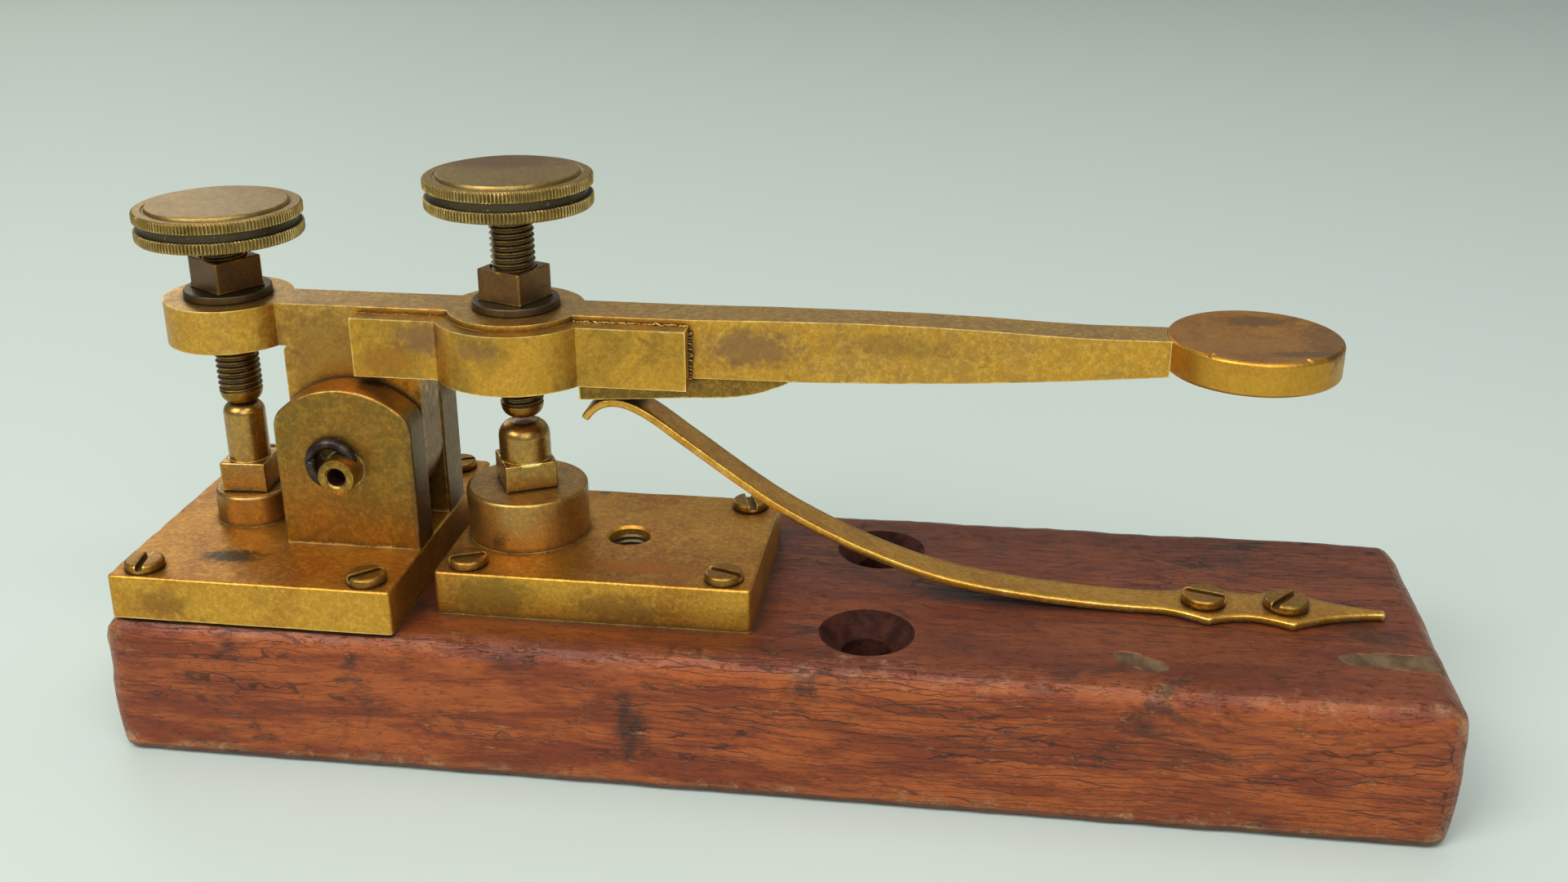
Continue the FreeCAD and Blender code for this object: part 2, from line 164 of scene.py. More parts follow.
def combine(bm, tools, operation):
    # exact boolean of bm with each tool bmesh
    body = bpy.data.objects.new("work", asMesh(bm, "work"))
    bpy.context.scene.collection.objects.link(body)
    helpers = []
    for tool in tools:
        helper = bpy.data.objects.new("tool", asMesh(tool, "tool"))
        bpy.context.scene.collection.objects.link(helper)
        step = body.modifiers.new("cut", "BOOLEAN")
        step.operation, step.solver, step.object = operation, "EXACT", helper
        helpers.append(helper)
        tool.free()
    result = body.evaluated_get(bpy.context.evaluated_depsgraph_get()).to_mesh()
    bm.clear()
    bm.from_mesh(result)
    for item in [body] + helpers:
        bpy.data.objects.remove(item)
    bmesh.ops.remove_doubles(bm, verts=bm.verts[:], dist=1e-4)
    bmesh.ops.dissolve_degenerate(bm, edges=bm.edges[:], dist=1e-4)
    return bm


def rod(x, y, low, high, radius, steps=48):
    return turnedTool([(0, low), (radius, low), (radius, high), (0, high)], steps, (x, y, 0))


def crossRod(x, z, low, high, radius, steps=48):
    tool = rod(0, 0, low, high, radius, steps)
    bmesh.ops.rotate(tool, verts=tool.verts[:], cent=(0, 0, 0), matrix=Matrix.Rotation(-math.pi / 2, 3, "X"))
    moveAll(tool, (x, 0, z))
    return tool


def finishPiece(bm, name, body, materials, nodes=(), smoothAngle=40):
    bmesh.ops.scale(bm, vec=(mm, mm, mm), verts=bm.verts[:])
    faceOutward(bm)
    mesh = asMesh(bm, name)
    bm.free()
    mesh.shade_smooth()
    mesh.set_sharp_from_angle(angle=math.radians(smoothAngle))
    for material in materials:
        mesh.materials.append(material)
    piece = bpy.data.objects.new(name, mesh)
    bpy.context.scene.collection.objects.link(piece)
    if body:
        even = piece.modifiers.new("evenShading", "WEIGHTED_NORMAL")
        even.keep_sharp = True
        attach(piece, body)
    if nodes:
        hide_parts(*nodes)
    return piece


# ways to write shader nodes briefly

def addNode(tree, kind, links=None, **settings):
    made = tree.nodes.new(kind)
    for name, value in settings.items():
        setattr(made, name, value)
    for name, value in (links or {}).items():
        if isinstance(value, bpy.types.NodeSocket):
            tree.links.new(value, made.inputs[name])
        else:
            made.inputs[name].default_value = value
    return made


def calc(tree, operation, a, b=0.0, clamp=False):
    return addNode(tree, "ShaderNodeMath", {0: a, 1: b}, operation=operation, use_clamp=clamp).outputs[0]


def times(tree, a, b, clamp=False):
    return calc(tree, "MULTIPLY", a, b, clamp)


def addScaled(tree, base, other, amount, clamp=False):
    return calc(tree, "ADD", base, times(tree, other, amount), clamp)


def takeScaled(tree, base, other, amount, clamp=False):
    return calc(tree, "SUBTRACT", base, times(tree, other, amount), clamp)


def swing(tree, field, amount):
    # a field of 0 to 1 made to swing round zero
    return times(tree, calc(tree, "SUBTRACT", field, 0.5), amount)


def vectorCalc(tree, operation, a, b):
    other = "Scale" if operation == "SCALE" else 1
    return addNode(tree, "ShaderNodeVectorMath", {0: a, other: b}, operation=operation).outputs[0]


def blendColour(tree, amount, a, b, mode="MIX"):
    made = addNode(tree, "ShaderNodeMix", data_type="RGBA", blend_type=mode)
    sockets = {"Factor": made.inputs[0], "A": made.inputs[6], "B": made.inputs[7]}
    for name, value in (("Factor", amount), ("A", a), ("B", b)):
        if isinstance(value, bpy.types.NodeSocket):
            tree.links.new(value, sockets[name])
        else:
            sockets[name].default_value = value
    return made.outputs[2]


def noiseField(tree, place, scale, detail=5.0, roughness=0.6, distortion=0.0):
    links = {"Vector": place, "Scale": scale, "Detail": detail, "Roughness": roughness,
             "Distortion": distortion}
    return addNode(tree, "ShaderNodeTexNoise", links).outputs["Fac"]


def between(tree, value, low, high):
    # smooth step from 0 at low to 1 at high
    links = {"Value": value, "From Min": low, "From Max": high}
    return addNode(tree, "ShaderNodeMapRange", links, interpolation_type="SMOOTHSTEP").outputs["Result"]


def stretched(tree, place, scale, shift=(0, 0, 0)):
    return addNode(tree, "ShaderNodeMapping", {"Vector": place, "Scale": scale, "Location": shift}).outputs[0]


def shaded(tree, colour, shade):
    grey = addNode(tree, "ShaderNodeCombineColor", {"Red": shade, "Green": shade, "Blue": shade}).outputs[0]
    return blendColour(tree, 1.0, colour, grey, "MULTIPLY")


def upwardness(tree, coordinates, high):
    # 1 on faces that look up, 0 on the sides
    up = addNode(tree, "ShaderNodeSeparateXYZ", {0: coordinates.outputs["Normal"]}).outputs["Z"]
    return between(tree, up, 0.5, high)


def joinLook(tree, shader, colour, rough, height, depth):
    # depth is the relief in millimetres
    bump = addNode(tree, "ShaderNodeBump", {"Height": height, "Distance": depth * mm, "Strength": 1.0})
    tree.links.new(colour, shader.inputs["Base Color"])
    tree.links.new(rough, shader.inputs["Roughness"])
    tree.links.new(bump.outputs[0], shader.inputs["Normal"])


def newGroup(name, inputs, outputs):
    tree = bpy.data.node_groups.new(name, "ShaderNodeTree")
    for label, (kind, value) in inputs.items():
        socket = tree.interface.new_socket(label, in_out="INPUT", socket_type="NodeSocket" + kind)
        socket.default_value = value
    for label, kind in outputs.items():
        tree.interface.new_socket(label, in_out="OUTPUT", socket_type="NodeSocket" + kind)
    return tree, tree.nodes.new("NodeGroupInput").outputs, tree.nodes.new("NodeGroupOutput").inputs


def useGroup(tree, group, links):
    made = tree.nodes.new("ShaderNodeGroup")
    made.node_tree = group
    for name, value in links.items():
        if isinstance(value, bpy.types.NodeSocket):
            tree.links.new(value, made.inputs[name])
        else:
            made.inputs[name].default_value = value
    return made.outputs


def solid(colour):
    return (*colour, 1)


# tones of brass that the looks below mix
brassTone = {
    "golden": (0.62, 0.315, 0.038), "bright": (0.86, 0.50, 0.085), "olive": (0.225, 0.135, 0.026),
    "orange": (0.40, 0.155, 0.026), "brown": (0.19, 0.092, 0.030), "stain": (0.10, 0.058, 0.030),
    "glint": (1.0, 0.72, 0.24), "dirt": (0.040, 0.030, 0.018), "slate": (0.105, 0.080, 0.042),
    "purple": (0.20, 0.105, 0.068), "drab": (0.40, 0.235, 0.072),
    "khaki": (0.27, 0.188, 0.062), "rust": (0.52, 0.17, 0.02),
    "dust": (0.55, 0.52, 0.47),
}


def makeAgeGroup():
    # rubbed edges with a painted glint, and corners darkened with dirt and painted shade, at true size in
    # millimetres
    inputs = {"Edge Width": ("Float", 0.5), "Corner Width": ("Float", 3.0), "Place": ("Vector", (0, 0, 0))}
    tree, given, result = newGroup("edgesAndCorners", inputs, {"Edge": "Float", "Corner": "Float"})
    edgeReach = times(tree, given["Edge Width"], mm)
    cornerReach = times(tree, given["Corner Width"], mm)
    edge = addNode(tree, "ShaderNodeAmbientOcclusion", {"Distance": edgeReach}, inside=True, only_local=True,
                   samples=8).outputs["AO"]
    corner = addNode(tree, "ShaderNodeAmbientOcclusion", {"Distance": cornerReach}, samples=8).outputs["AO"]
    patchy = noiseField(tree, given["Place"], 0.32, 7, 0.72)
    fine = noiseField(tree, given["Place"], 3.0, 4, 0.6)
    opened = calc(tree, "SUBTRACT", 1.0, edge)
    opened = calc(tree, "ADD", opened, swing(tree, patchy, 1.1))
    opened = calc(tree, "ADD", opened, swing(tree, fine, 0.22))
    closed = calc(tree, "SUBTRACT", 1.0, corner)
    closed = calc(tree, "ADD", closed, swing(tree, patchy, 0.25))
    tree.links.new(between(tree, opened, 0.22, 0.50), result["Edge"])
    tree.links.new(between(tree, closed, 0.18, 0.58), result["Corner"])
    return tree


def makeTarnishGroup():
    # colour, roughness and relief of old handled metal, with painted shade on the tops and in the corners and
    # a painted glint on the edges
    colours = {"Body": (0.3, 0.2, 0.06, 1), "Bright": (0.6, 0.42, 0.12, 1), "Second": (0.3, 0.14, 0.04, 1),
               "Stain": (0.1, 0.06, 0.04, 1), "Edge Colour": (0.9, 0.7, 0.3, 1),
               "Dirt And Shade": (0.05, 0.04, 0.03, 1)}
    inputs = {name: ("Color", value) for name, value in colours.items()}
    inputs.update({"Place": ("Vector", (0, 0, 0)), "Upward": ("Float", 0.0), "Top Second": ("Float", 0.5),
                   "Bright Amount": ("Float", 0.5), "Second Amount": ("Float", 0.3),
                   "Stain Amount": ("Float", 0.3), "Size": ("Float", 1.0), "Edge": ("Float", 0.0),
                   "Corner": ("Float", 0.0), "Edge Amount": ("Float", 1.0), "Dirt Amount": ("Float", 0.8),
                   "Base Roughness": ("Float", 0.4)})
    outputs = {"Colour": "Color", "Rough": "Float", "Relief": "Float"}
    tree, given, result = newGroup("tarnish", inputs, outputs)
    place = vectorCalc(tree, "SCALE", given["Place"], given["Size"])
    broad = noiseField(tree, place, 0.10, 4, 0.55, 0.4)
    clouds = noiseField(tree, stretched(tree, place, (1, 1, 1), (31, 7, 3)), 0.36, 10, 0.76, 0.4)
    spots = noiseField(tree, stretched(tree, place, (1, 1, 1), (5, 43, 17)), 0.17, 10, 0.78, 0.6)
    flaky = noiseField(tree, stretched(tree, given["Place"], (1, 1, 1), (3, 13, 23)), 1.1, 7, 0.8, 0.3)
    grit = noiseField(tree, given["Place"], 2.6, 5, 0.65)
    flecks = noiseField(tree, stretched(tree, given["Place"], (0.35, 1, 1)), 1.1, 6, 0.75)
    # faces that look up take more of the second tone: painted shade on the tops (painted light where Top
    # Second is below zero), besides the tarnish
    second = addScaled(tree, between(tree, broad, 0.40, 0.66), given["Upward"], given["Top Second"])
    second = calc(tree, "ADD", second, swing(tree, clouds, 0.9))
    second = times(tree, second, given["Second Amount"], True)
    mixed = addScaled(tree, times(tree, clouds, 0.40), flaky, 0.60)
    bright = times(tree, between(tree, mixed, 0.46, 0.58), given["Bright Amount"], True)
    stain = times(tree, between(tree, spots, 0.54, 0.72), given["Stain Amount"], True)
    pits = times(tree, between(tree, flecks, 0.64, 0.74), 0.55)
    colour = blendColour(tree, second, given["Body"], given["Second"])
    colour = blendColour(tree, bright, colour, given["Bright"])
    colour = blendColour(tree, stain, colour, given["Stain"])
    shade = addScaled(tree, times(tree, grit, 0.7), flaky, 0.6)
    colour = shaded(tree, colour, calc(tree, "ADD", shade, 0.34))
    colour = blendColour(tree, pits, colour, given["Stain"])
    # corners darken towards the dark tone: dirt and painted shade
    dirt = times(tree, given["Corner"], given["Dirt Amount"], True)
    colour = blendColour(tree, dirt, colour, given["Dirt And Shade"])
    specks = between(tree, noiseField(tree, given["Place"], 2.1, 2, 0.4), 0.70, 0.735)
    specks = times(tree, specks, addScaled(tree, 0.18, given["Corner"], 0.6))
    colour = blendColour(tree, specks, colour, solid(brassTone["dust"]))
    # edges turn towards the edge tone: worn bright metal with a painted glint
    rubbedAndGlint = times(tree, given["Edge"], given["Edge Amount"], True)
    colour = blendColour(tree, rubbedAndGlint, colour, given["Edge Colour"])
    rough = addScaled(tree, given["Base Roughness"], stain, 0.18)
    rough = calc(tree, "ADD", rough, swing(tree, grit, 0.25))
    rough = addScaled(tree, rough, dirt, 0.25)
    rough = takeScaled(tree, rough, calc(tree, "ADD", rubbedAndGlint, bright), 0.09, True)
    relief = addScaled(tree, times(tree, grit, 0.5), clouds, 0.3)
    relief = takeScaled(tree, relief, pits, 0.6)
    for socket, name in ((colour, "Colour"), (rough, "Rough"), (relief, "Relief")):
        tree.links.new(socket, result[name])
    return tree


def makePatchGroup():
    # one ragged stain of a given place and size
    inputs = {"Place": ("Vector", (0, 0, 0)), "Centre": ("Vector", (0, 0, 0)),
              "Extent": ("Vector", (5, 5, 5))}
    tree, given, result = newGroup("ragStain", inputs, {"Mask": "Float"})
    offset = vectorCalc(tree, "SUBTRACT", given["Place"], given["Centre"])
    scaled = vectorCalc(tree, "DIVIDE", offset, given["Extent"])
    reach = addNode(tree, "ShaderNodeVectorMath", {0: scaled}, operation="LENGTH").outputs["Value"]
    torn = swing(tree, noiseField(tree, given["Place"], 0.55, 7, 0.7, 0.5), 2.6)
    reach = calc(tree, "ADD", reach, torn)
    tree.links.new(between(tree, reach, 1.35, 0.45), result["Mask"])
    return tree


edgesAndCorners = makeAgeGroup()
tarnish = makeTarnishGroup()
ragStain = makePatchGroup()


def startMaterial(name):
    material = bpy.data.materials.new(name)
    material.use_nodes = True
    tree = material.node_tree
    coordinates = tree.nodes.new("ShaderNodeTexCoord")
    place = vectorCalc(tree, "SCALE", coordinates.outputs["Object"], 1 / mm)
    return material, tree, tree.nodes["Principled BSDF"], coordinates, place


# patches are single marks: centre and half sizes in millimetres, tone, strength
usualLook = {"body": "golden", "second": "orange", "bright": "bright", "stain": "brown", "edge": "glint",
             "dirt": "dirt", "topSecond": 0.4, "brightAmount": 0.45, "secondAmount": 0.5, "stainAmount": 0.5,
             "size": 1.0, "edgeWidth": 0.42, "cornerWidth": 2.6, "edgeAmount": 0.9, "dirtAmount": 0.8,
             "roughness": 0.40, "relief": 0.05, "seed": (0, 0, 0), "patches": ()}


def agedMetal(name, **changes):
    look = {**usualLook, **changes}
    tone = {key: solid(brassTone[look[key]]) for key in ("body", "second", "bright", "stain", "edge", "dirt")}
    material, tree, shader, coordinates, place = startMaterial(name)
    shifted = stretched(tree, place, (1, 1, 1), look["seed"])
    # the upward mask tints the tops: painted shade, besides the tarnish
    upward = upwardness(tree, coordinates, 0.95)
    age = useGroup(tree, edgesAndCorners, {"Edge Width": look["edgeWidth"],
                                           "Corner Width": look["cornerWidth"], "Place": shifted})
    result = useGroup(tree, tarnish, {
        "Body": tone["body"], "Second": tone["second"], "Bright": tone["bright"], "Stain": tone["stain"],
        "Edge Colour": tone["edge"], "Dirt And Shade": tone["dirt"], "Place": shifted, "Upward": upward,
        "Top Second": look["topSecond"], "Bright Amount": look["brightAmount"],
        "Second Amount": look["secondAmount"], "Stain Amount": look["stainAmount"], "Size": look["size"],
        "Edge": age["Edge"], "Corner": age["Corner"], "Edge Amount": look["edgeAmount"],
        "Dirt Amount": look["dirtAmount"], "Base Roughness": look["roughness"]})
    colour = result["Colour"]
    for centre, extent, patchTone, strength in look["patches"]:
        mask = useGroup(tree, ragStain, {"Place": place, "Centre": centre, "Extent": extent})["Mask"]
        amount = times(tree, mask, strength)
        colour = blendColour(tree, amount, colour, solid(brassTone[patchTone]))
    joinLook(tree, shader, colour, result["Rough"], result["Relief"], look["relief"])
    shader.inputs["Metallic"].default_value = 0.92
    return material


def thinLines(tree, place, scale, width):
    # hairlines where a stretched noise passes its middle value
    field = noiseField(tree, stretched(tree, place, scale), 1.0, 4, 0.6, 0.2)
    away = calc(tree, "ABSOLUTE", calc(tree, "SUBTRACT", field, 0.5))
    return between(tree, away, width, width * 0.25)


def crackLines(tree, place, scale, width):
    # thin wandering cracks: the borders of long cells
    links = {"Vector": place, "Scale": 0.16, "Detail": 3.0}
    wander = addNode(tree, "ShaderNodeTexNoise", links).outputs["Color"]
    moved = vectorCalc(tree, "ADD", place, vectorCalc(tree, "SCALE", wander, 1.6))
    cells = addNode(tree, "ShaderNodeTexVoronoi", {"Vector": stretched(tree, moved, scale), "Scale": 1.0},
                    feature="DISTANCE_TO_EDGE")
    return between(tree, cells.outputs["Distance"], width, width * 0.3)


def oiledWood(name):
    # dark red hardwood: streaks along the block, open pores, scuffed corners, a top face with painted shade,
    # and inner corners with grime and painted shade
    tone = {"deep": (0.070, 0.014, 0.006), "red": (0.19, 0.033, 0.007), "warm": (0.36, 0.082, 0.014),
            "pore": (0.012, 0.005, 0.003), "scuff": (0.60, 0.37, 0.17), "grimeAndShade": (0.028, 0.012, 0.008)}
    material, tree, shader, coordinates, place = startMaterial(name)
    wave = noiseField(tree, stretched(tree, place, (0.012, 0.05, 0.05)), 1.0, 3, 0.5)
    drift = addNode(tree, "ShaderNodeCombineXYZ", {"Z": times(tree, wave, 7.0),
                                                   "Y": times(tree, wave, 5.0)}).outputs[0]
    bent = vectorCalc(tree, "ADD", place, drift)
    bands = noiseField(tree, stretched(tree, bent, (0.045, 0.20, 0.26)), 1.0, 9, 0.70, 0.4)
    streaks = noiseField(tree, stretched(tree, bent, (0.12, 0.9, 1.2)), 1.0, 8, 0.78)
    fibres = noiseField(tree, stretched(tree, bent, (0.4, 5.0, 6.0)), 1.0, 4, 0.65)
    blots = noiseField(tree, stretched(tree, place, (0.055, 0.09, 0.09), (3, 8, 1)), 1.0, 8, 0.70, 0.6)
    flakes = noiseField(tree, stretched(tree, place, (0.35, 0.85, 0.85)), 1.0, 9, 0.82)
    cracked = noiseField(tree, stretched(tree, place, (0.02, 0.05, 0.05), (9, 2, 5)), 1.0, 4, 0.6)
    hairlines = times(tree, crackLines(tree, bent, (0.028, 0.62, 0.72), 0.042),
                      between(tree, cracked, 0.40, 0.54))
    pores = times(tree, thinLines(tree, bent, (0.30, 3.2, 3.2), 0.06), between(tree, flakes, 0.50, 0.60))
    cracks = calc(tree, "MAXIMUM", times(tree, hairlines, 0.75), times(tree, pores, 0.5))
    top = upwardness(tree, coordinates, 0.98)
    age = useGroup(tree, edgesAndCorners, {"Edge Width": 5.0, "Corner Width": 5.0, "Place": place})
    colour = blendColour(tree, between(tree, bands, 0.40, 0.60), solid(tone["red"]), solid(tone["warm"]))
    sideways = takeScaled(tree, 1.0, top, 0.4)
    dark = times(tree, between(tree, streaks, 0.50, 0.70), sideways)
    # the top face is painted darker towards the deep tone: painted shade
    layers = ((dark, 0.42, "deep"), (top, 0.60, "deep"),
              (between(tree, blots, 0.53, 0.66), 0.75, "grimeAndShade"), (cracks, 0.9, "pore"))
    for mask, amount, key in layers:
        colour = blendColour(tree, times(tree, mask, amount), colour, solid(tone[key]))
    shade = addScaled(tree, times(tree, fibres, 0.7), flakes, 0.45)
    colour = shaded(tree, colour, calc(tree, "ADD", shade, 0.42))
    scuffed = times(tree, age["Edge"], between(tree, flakes, 0.38, 0.52), True)
    colour = blendColour(tree, times(tree, scuffed, 0.85), colour, solid(tone["scuff"]))
    loose = times(tree, between(tree, flakes, 0.58, 0.68), calc(tree, "SUBTRACT", 1.0, top))
    colour = blendColour(tree, times(tree, loose, 0.42), colour, solid(tone["scuff"]))
    # inner corners darken towards the grime tone: grime and painted shade
    colour = blendColour(tree, times(tree, age["Corner"], 0.75), colour, solid(tone["grimeAndShade"]))
    rough = addScaled(tree, 0.15, streaks, 0.28)
    rough = addScaled(tree, rough, cracks, 0.3)
    rough = takeScaled(tree, rough, age["Edge"], 0.16, True)
    relief = addScaled(tree, times(tree, fibres, 0.5), streaks, 0.9)
    joinLook(tree, shader, colour, rough, takeScaled(tree, relief, cracks, 0.9), 0.11)
    shader.inputs["Specular IOR Level"].default_value = 0.34
    return material


def dullSurface(name, dark, light, metallic, roughness, scale, relief):
    # two soft tones in patches: bare wood, wire, and the near black inside of holes, which is grime and
    # painted shade
    material, tree, shader, _, place = startMaterial(name)
    patchy = noiseField(tree, place, scale, 6, 0.65)
    grit = noiseField(tree, place, scale * 6, 4, 0.6)
    colour = blendColour(tree, between(tree, patchy, 0.38, 0.62), solid(dark), solid(light))
    joinLook(tree, shader, colour, addScaled(tree, roughness - 0.15, grit, 0.3, True), grit, relief)
    shader.inputs["Metallic"].default_value = metallic
    shader.inputs["Specular IOR Level"].default_value = 0.5 if metallic else 0.12
    return material


frontX = middle("front_knob").x
rearX = middle("rear_knob").x
knobTop = cad("front_knob")[1].z
cheekRight = cad("front_cheek")[1].x
plateBrass = agedMetal("plateBrass", topSecond=0.9, secondAmount=0.65, brightAmount=0.35, stainAmount=0.6,
    relief=0.13, size=0.8, patches=(
        ((-89.3, -19.1, 32.6), (5.6, 2.5, 2.0), "dirt", 0.9),
        ((-44.0, -20.3, 29.0), (7.0, 2.0, 3.6), "olive", 0.7),
        ((-24.0, -20.3, 28.0), (8.0, 2.0, 2.6), "brown", 0.55),
        ((-98.0, -28.6, 28.0), (5.0, 2.0, 2.4), "brown", 0.4),
        ((-21.5, -14.3, 32.6), (10.0, 2.2, 2.0), "rust", 0.8),
        ((-33.7, 14.7, 32.6), (1.2, 1.0, 1.0), "purple", 0.8)))
cheekBrass = agedMetal("cheekBrass", body="olive", bright="golden", topSecond=1.3, secondAmount=0.42,
    brightAmount=0.3, roughness=0.42, relief=0.07, edgeWidth=0.9, seed=(12, 5, 9), patches=(
        # the right side of the cheek is painted darker with the stain tone: painted shade on the side turned
        # from the light
        ((cheekRight + 0.8, keyY, 47.0), (1.6, 40.0, 30.0), "stain", 0.6),))
leverBrass = agedMetal("leverBrass", second="drab", topSecond=1.3, secondAmount=0.55, brightAmount=0.42,
    stainAmount=0.6, size=1.1, relief=0.06, cornerWidth=2.0, dirtAmount=0.95, seed=(40, 2, 6), patches=(
        ((-3.0, -5.9, 68.5), (8.5, 3.0, 3.2), "purple", 0.65),
        ((20.0, -5.9, 70.0), (12.0, 3.0, 1.8), "brown", 0.35),
        # the lever over the cheeks is darker: brown patina and painted shade
        ((-74.0, -5.9, 64.5), (12.0, 6.0, 10.0), "brown", 0.55),
        # the lug beside the cheeks is painted darker: painted shade, with some dust
        ((-59.0, keyY, 50.0), (4.5, 6.0, 13.0), "stain", 0.75)))
strapBrass = agedMetal("strapBrass", second="olive", topSecond=0.6, secondAmount=0.6, brightAmount=0.22,
    stainAmount=0.6, relief=0.07, cornerWidth=2.0, dirtAmount=1.0, seed=(3, 22, 14), patches=(
        ((-56.7, -9.2, 69.2), (5.0, 3.0, 3.0), "purple", 0.7),
        ((-62.5, -9.2, 65.3), (4.5, 3.0, 2.4), "orange", 0.6),
        ((-46.0, -15.0, 69.5), (4.0, 4.0, 1.8), "purple", 0.5)))
discBrass = agedMetal("discBrass", bright="golden", topSecond=1.5, brightAmount=0.3, stainAmount=0.4,
    seed=(7, 60, 2), patches=(
        ((86.0, -3.0, 73.0), (3.5, 9.0, 3.0), "stain", 0.45),
        ((77.0, 6.5, 72.8), (7.0, 2.2, 2.0), "brown", 0.8),
        ((82.5, -9.5, 72.8), (6.0, 1.8, 1.2), "brown", 0.8)))
springBrass = agedMetal("springBrass", topSecond=0.8, secondAmount=0.4, brightAmount=0.35, stainAmount=0.4,
    roughness=0.34, edgeWidth=0.95, seed=(1, 9, 70))
knobBrass = agedMetal("knobBrass", body="khaki", second="olive", bright="golden", topSecond=0.5,
    secondAmount=0.6, brightAmount=0.25, stainAmount=0.3, edgeWidth=0.3, cornerWidth=0.6, dirtAmount=1.0,
    roughness=0.42, seed=(90, 3, 4), patches=(
        ((frontX - 3.0, keyY + 6.5, knobTop), (10.5, 6.0, 2.0), "brown", 0.95),))
grooveBronze = agedMetal("grooveBronze", body="slate", second="slate", bright="slate", stain="stain",
    edge="drab", topSecond=0.2, edgeWidth=0.3, edgeAmount=0.5, roughness=0.45, relief=0.02)
screwBrass = agedMetal("screwBrass", body="olive", bright="golden", brightAmount=0.3, edgeWidth=0.4,
    cornerWidth=1.2, dirtAmount=1.0, roughness=0.38, seed=(2, 2, 31))
postBrass = agedMetal("postBrass", body="drab", second="olive", bright="golden", brightAmount=0.5,
    roughness=0.3, edgeWidth=0.45, relief=0.03, seed=(14, 14, 3))
pedestalBrass = agedMetal("pedestalBrass", body="drab", second="brown", bright="golden", stain="purple",
    topSecond=0.3, secondAmount=0.55, brightAmount=0.5, roughness=0.38, relief=0.07, seed=(4, 28, 8))
nutBronze = agedMetal("nutBronze", body="brown", second="stain", bright="brown", stain="dirt",
    edge="golden", topSecond=-0.3, secondAmount=0.7, brightAmount=0.4, edgeWidth=0.55, edgeAmount=0.85,
    cornerWidth=1.0, roughness=0.36, relief=0.04, seed=(5, 5, 50))
washerBronze = agedMetal("washerBronze", body="slate", second="stain", bright="slate", stain="dirt",
    edge="drab", topSecond=0.2, edgeWidth=0.4, edgeAmount=0.25, cornerWidth=0.8, dirtAmount=0.4,
    roughness=0.46, relief=0.03)
threadBronze = agedMetal("threadBronze", body="slate", second="stain", bright="slate", stain="dirt",
    edge="bright", topSecond=0.0, edgeWidth=0.3, cornerWidth=0.7, dirtAmount=1.0, roughness=0.36,
    relief=0.01)
tipBronze = agedMetal("tipBronze", body="olive", second="brown", bright="golden", topSecond=0.0,
    brightAmount=0.2, edgeWidth=0.3, edgeAmount=0.4, roughness=0.3, relief=0.02, seed=(8, 1, 1))
pinBrass = agedMetal("pinBrass", body="olive", bright="golden", topSecond=0.3, secondAmount=0.3,
    brightAmount=0.6, edgeWidth=0.35, roughness=0.34, relief=0.03, seed=(6, 3, 3))
padBrass = agedMetal("padBrass", body="olive", second="brown", bright="golden", topSecond=0.2,
    brightAmount=0.4, roughness=0.42, seed=(11, 3, 19))
solderMetal = agedMetal("solderMetal", body="brown", second="stain", bright="golden", topSecond=0.2,
    secondAmount=0.6, brightAmount=0.5, edgeAmount=0.2, size=3.0, relief=0.03)
contactMetal = dullSurface("contactMetal", (0.42, 0.24, 0.15), (0.60, 0.40, 0.28), 0.8, 0.42, 1.4, 0.03)
blackWire = dullSurface("blackWire", (0.030, 0.021, 0.018), (0.075, 0.055, 0.047), 0.9, 0.45, 0.5, 0.02)
agedWood = oiledWood("agedWood")
# the inside of holes is near black: grime and painted shade
holeGrimeAndShade = dullSurface("holeGrimeAndShade", (0.022, 0.006, 0.004), (0.055, 0.015, 0.009), 0.0, 0.75, 0.35, 0.04)
bareWood = dullSurface("bareWood", (0.085, 0.050, 0.026), (0.15, 0.096, 0.052), 0.0, 0.7, 0.3, 0.04)


# the wooden block

baseBlock = {"topRound": 4.0, "bottomRound": 1.6, "uprightRound": 4.0, "grid": 1.7, "edgeWear": 0.85,
             "waviness": 0.12, "endCrown": 0.9, "holeX": mounts["bench_holes"]["pos_m"][0] / mm,
             "holeSpread": mounts["bench_holes"]["dims"]["spacing_y_mm"] / 2,
             "holeRadius": mounts["bench_holes"]["dims"]["hole_r_mm"],
             "countersink": 7.6, "countersinkDepth": 3.6,
             # gouges: centre, half sizes, turn in degrees
             "gouges": (((60.6, -20.9, 25.5), (5.0, 2.4, 1.5), -25),
                        ((100.6, -15.6, 25.4), (9.6, 2.6, 1.8), 2))}


def shapeBlock(bm, low, high):
    b = baseBlock
    inset = b["waviness"] + 0.05
    addBlock(bm, low + Vector((inset, inset, 0)), high - Vector((inset, inset, 0)))
    for isUpright, level, size in ((True, None, b["uprightRound"]), (False, high.z, b["topRound"]),
                                   (False, low.z, b["bottomRound"])):
        rims = [e for e in bm.edges if len(e.link_faces) == 2 and e.calc_face_angle() > 0.7
                and (abs(e.verts[0].co.z - e.verts[1].co.z) > 1 if isUpright
                     else all(abs(v.co.z - level) < 1e-3 for v in e.verts))]
        roundEdges(bm, rims, size, 5)
    for axis in range(3):
        cutGrid(bm, axis, b["grid"])


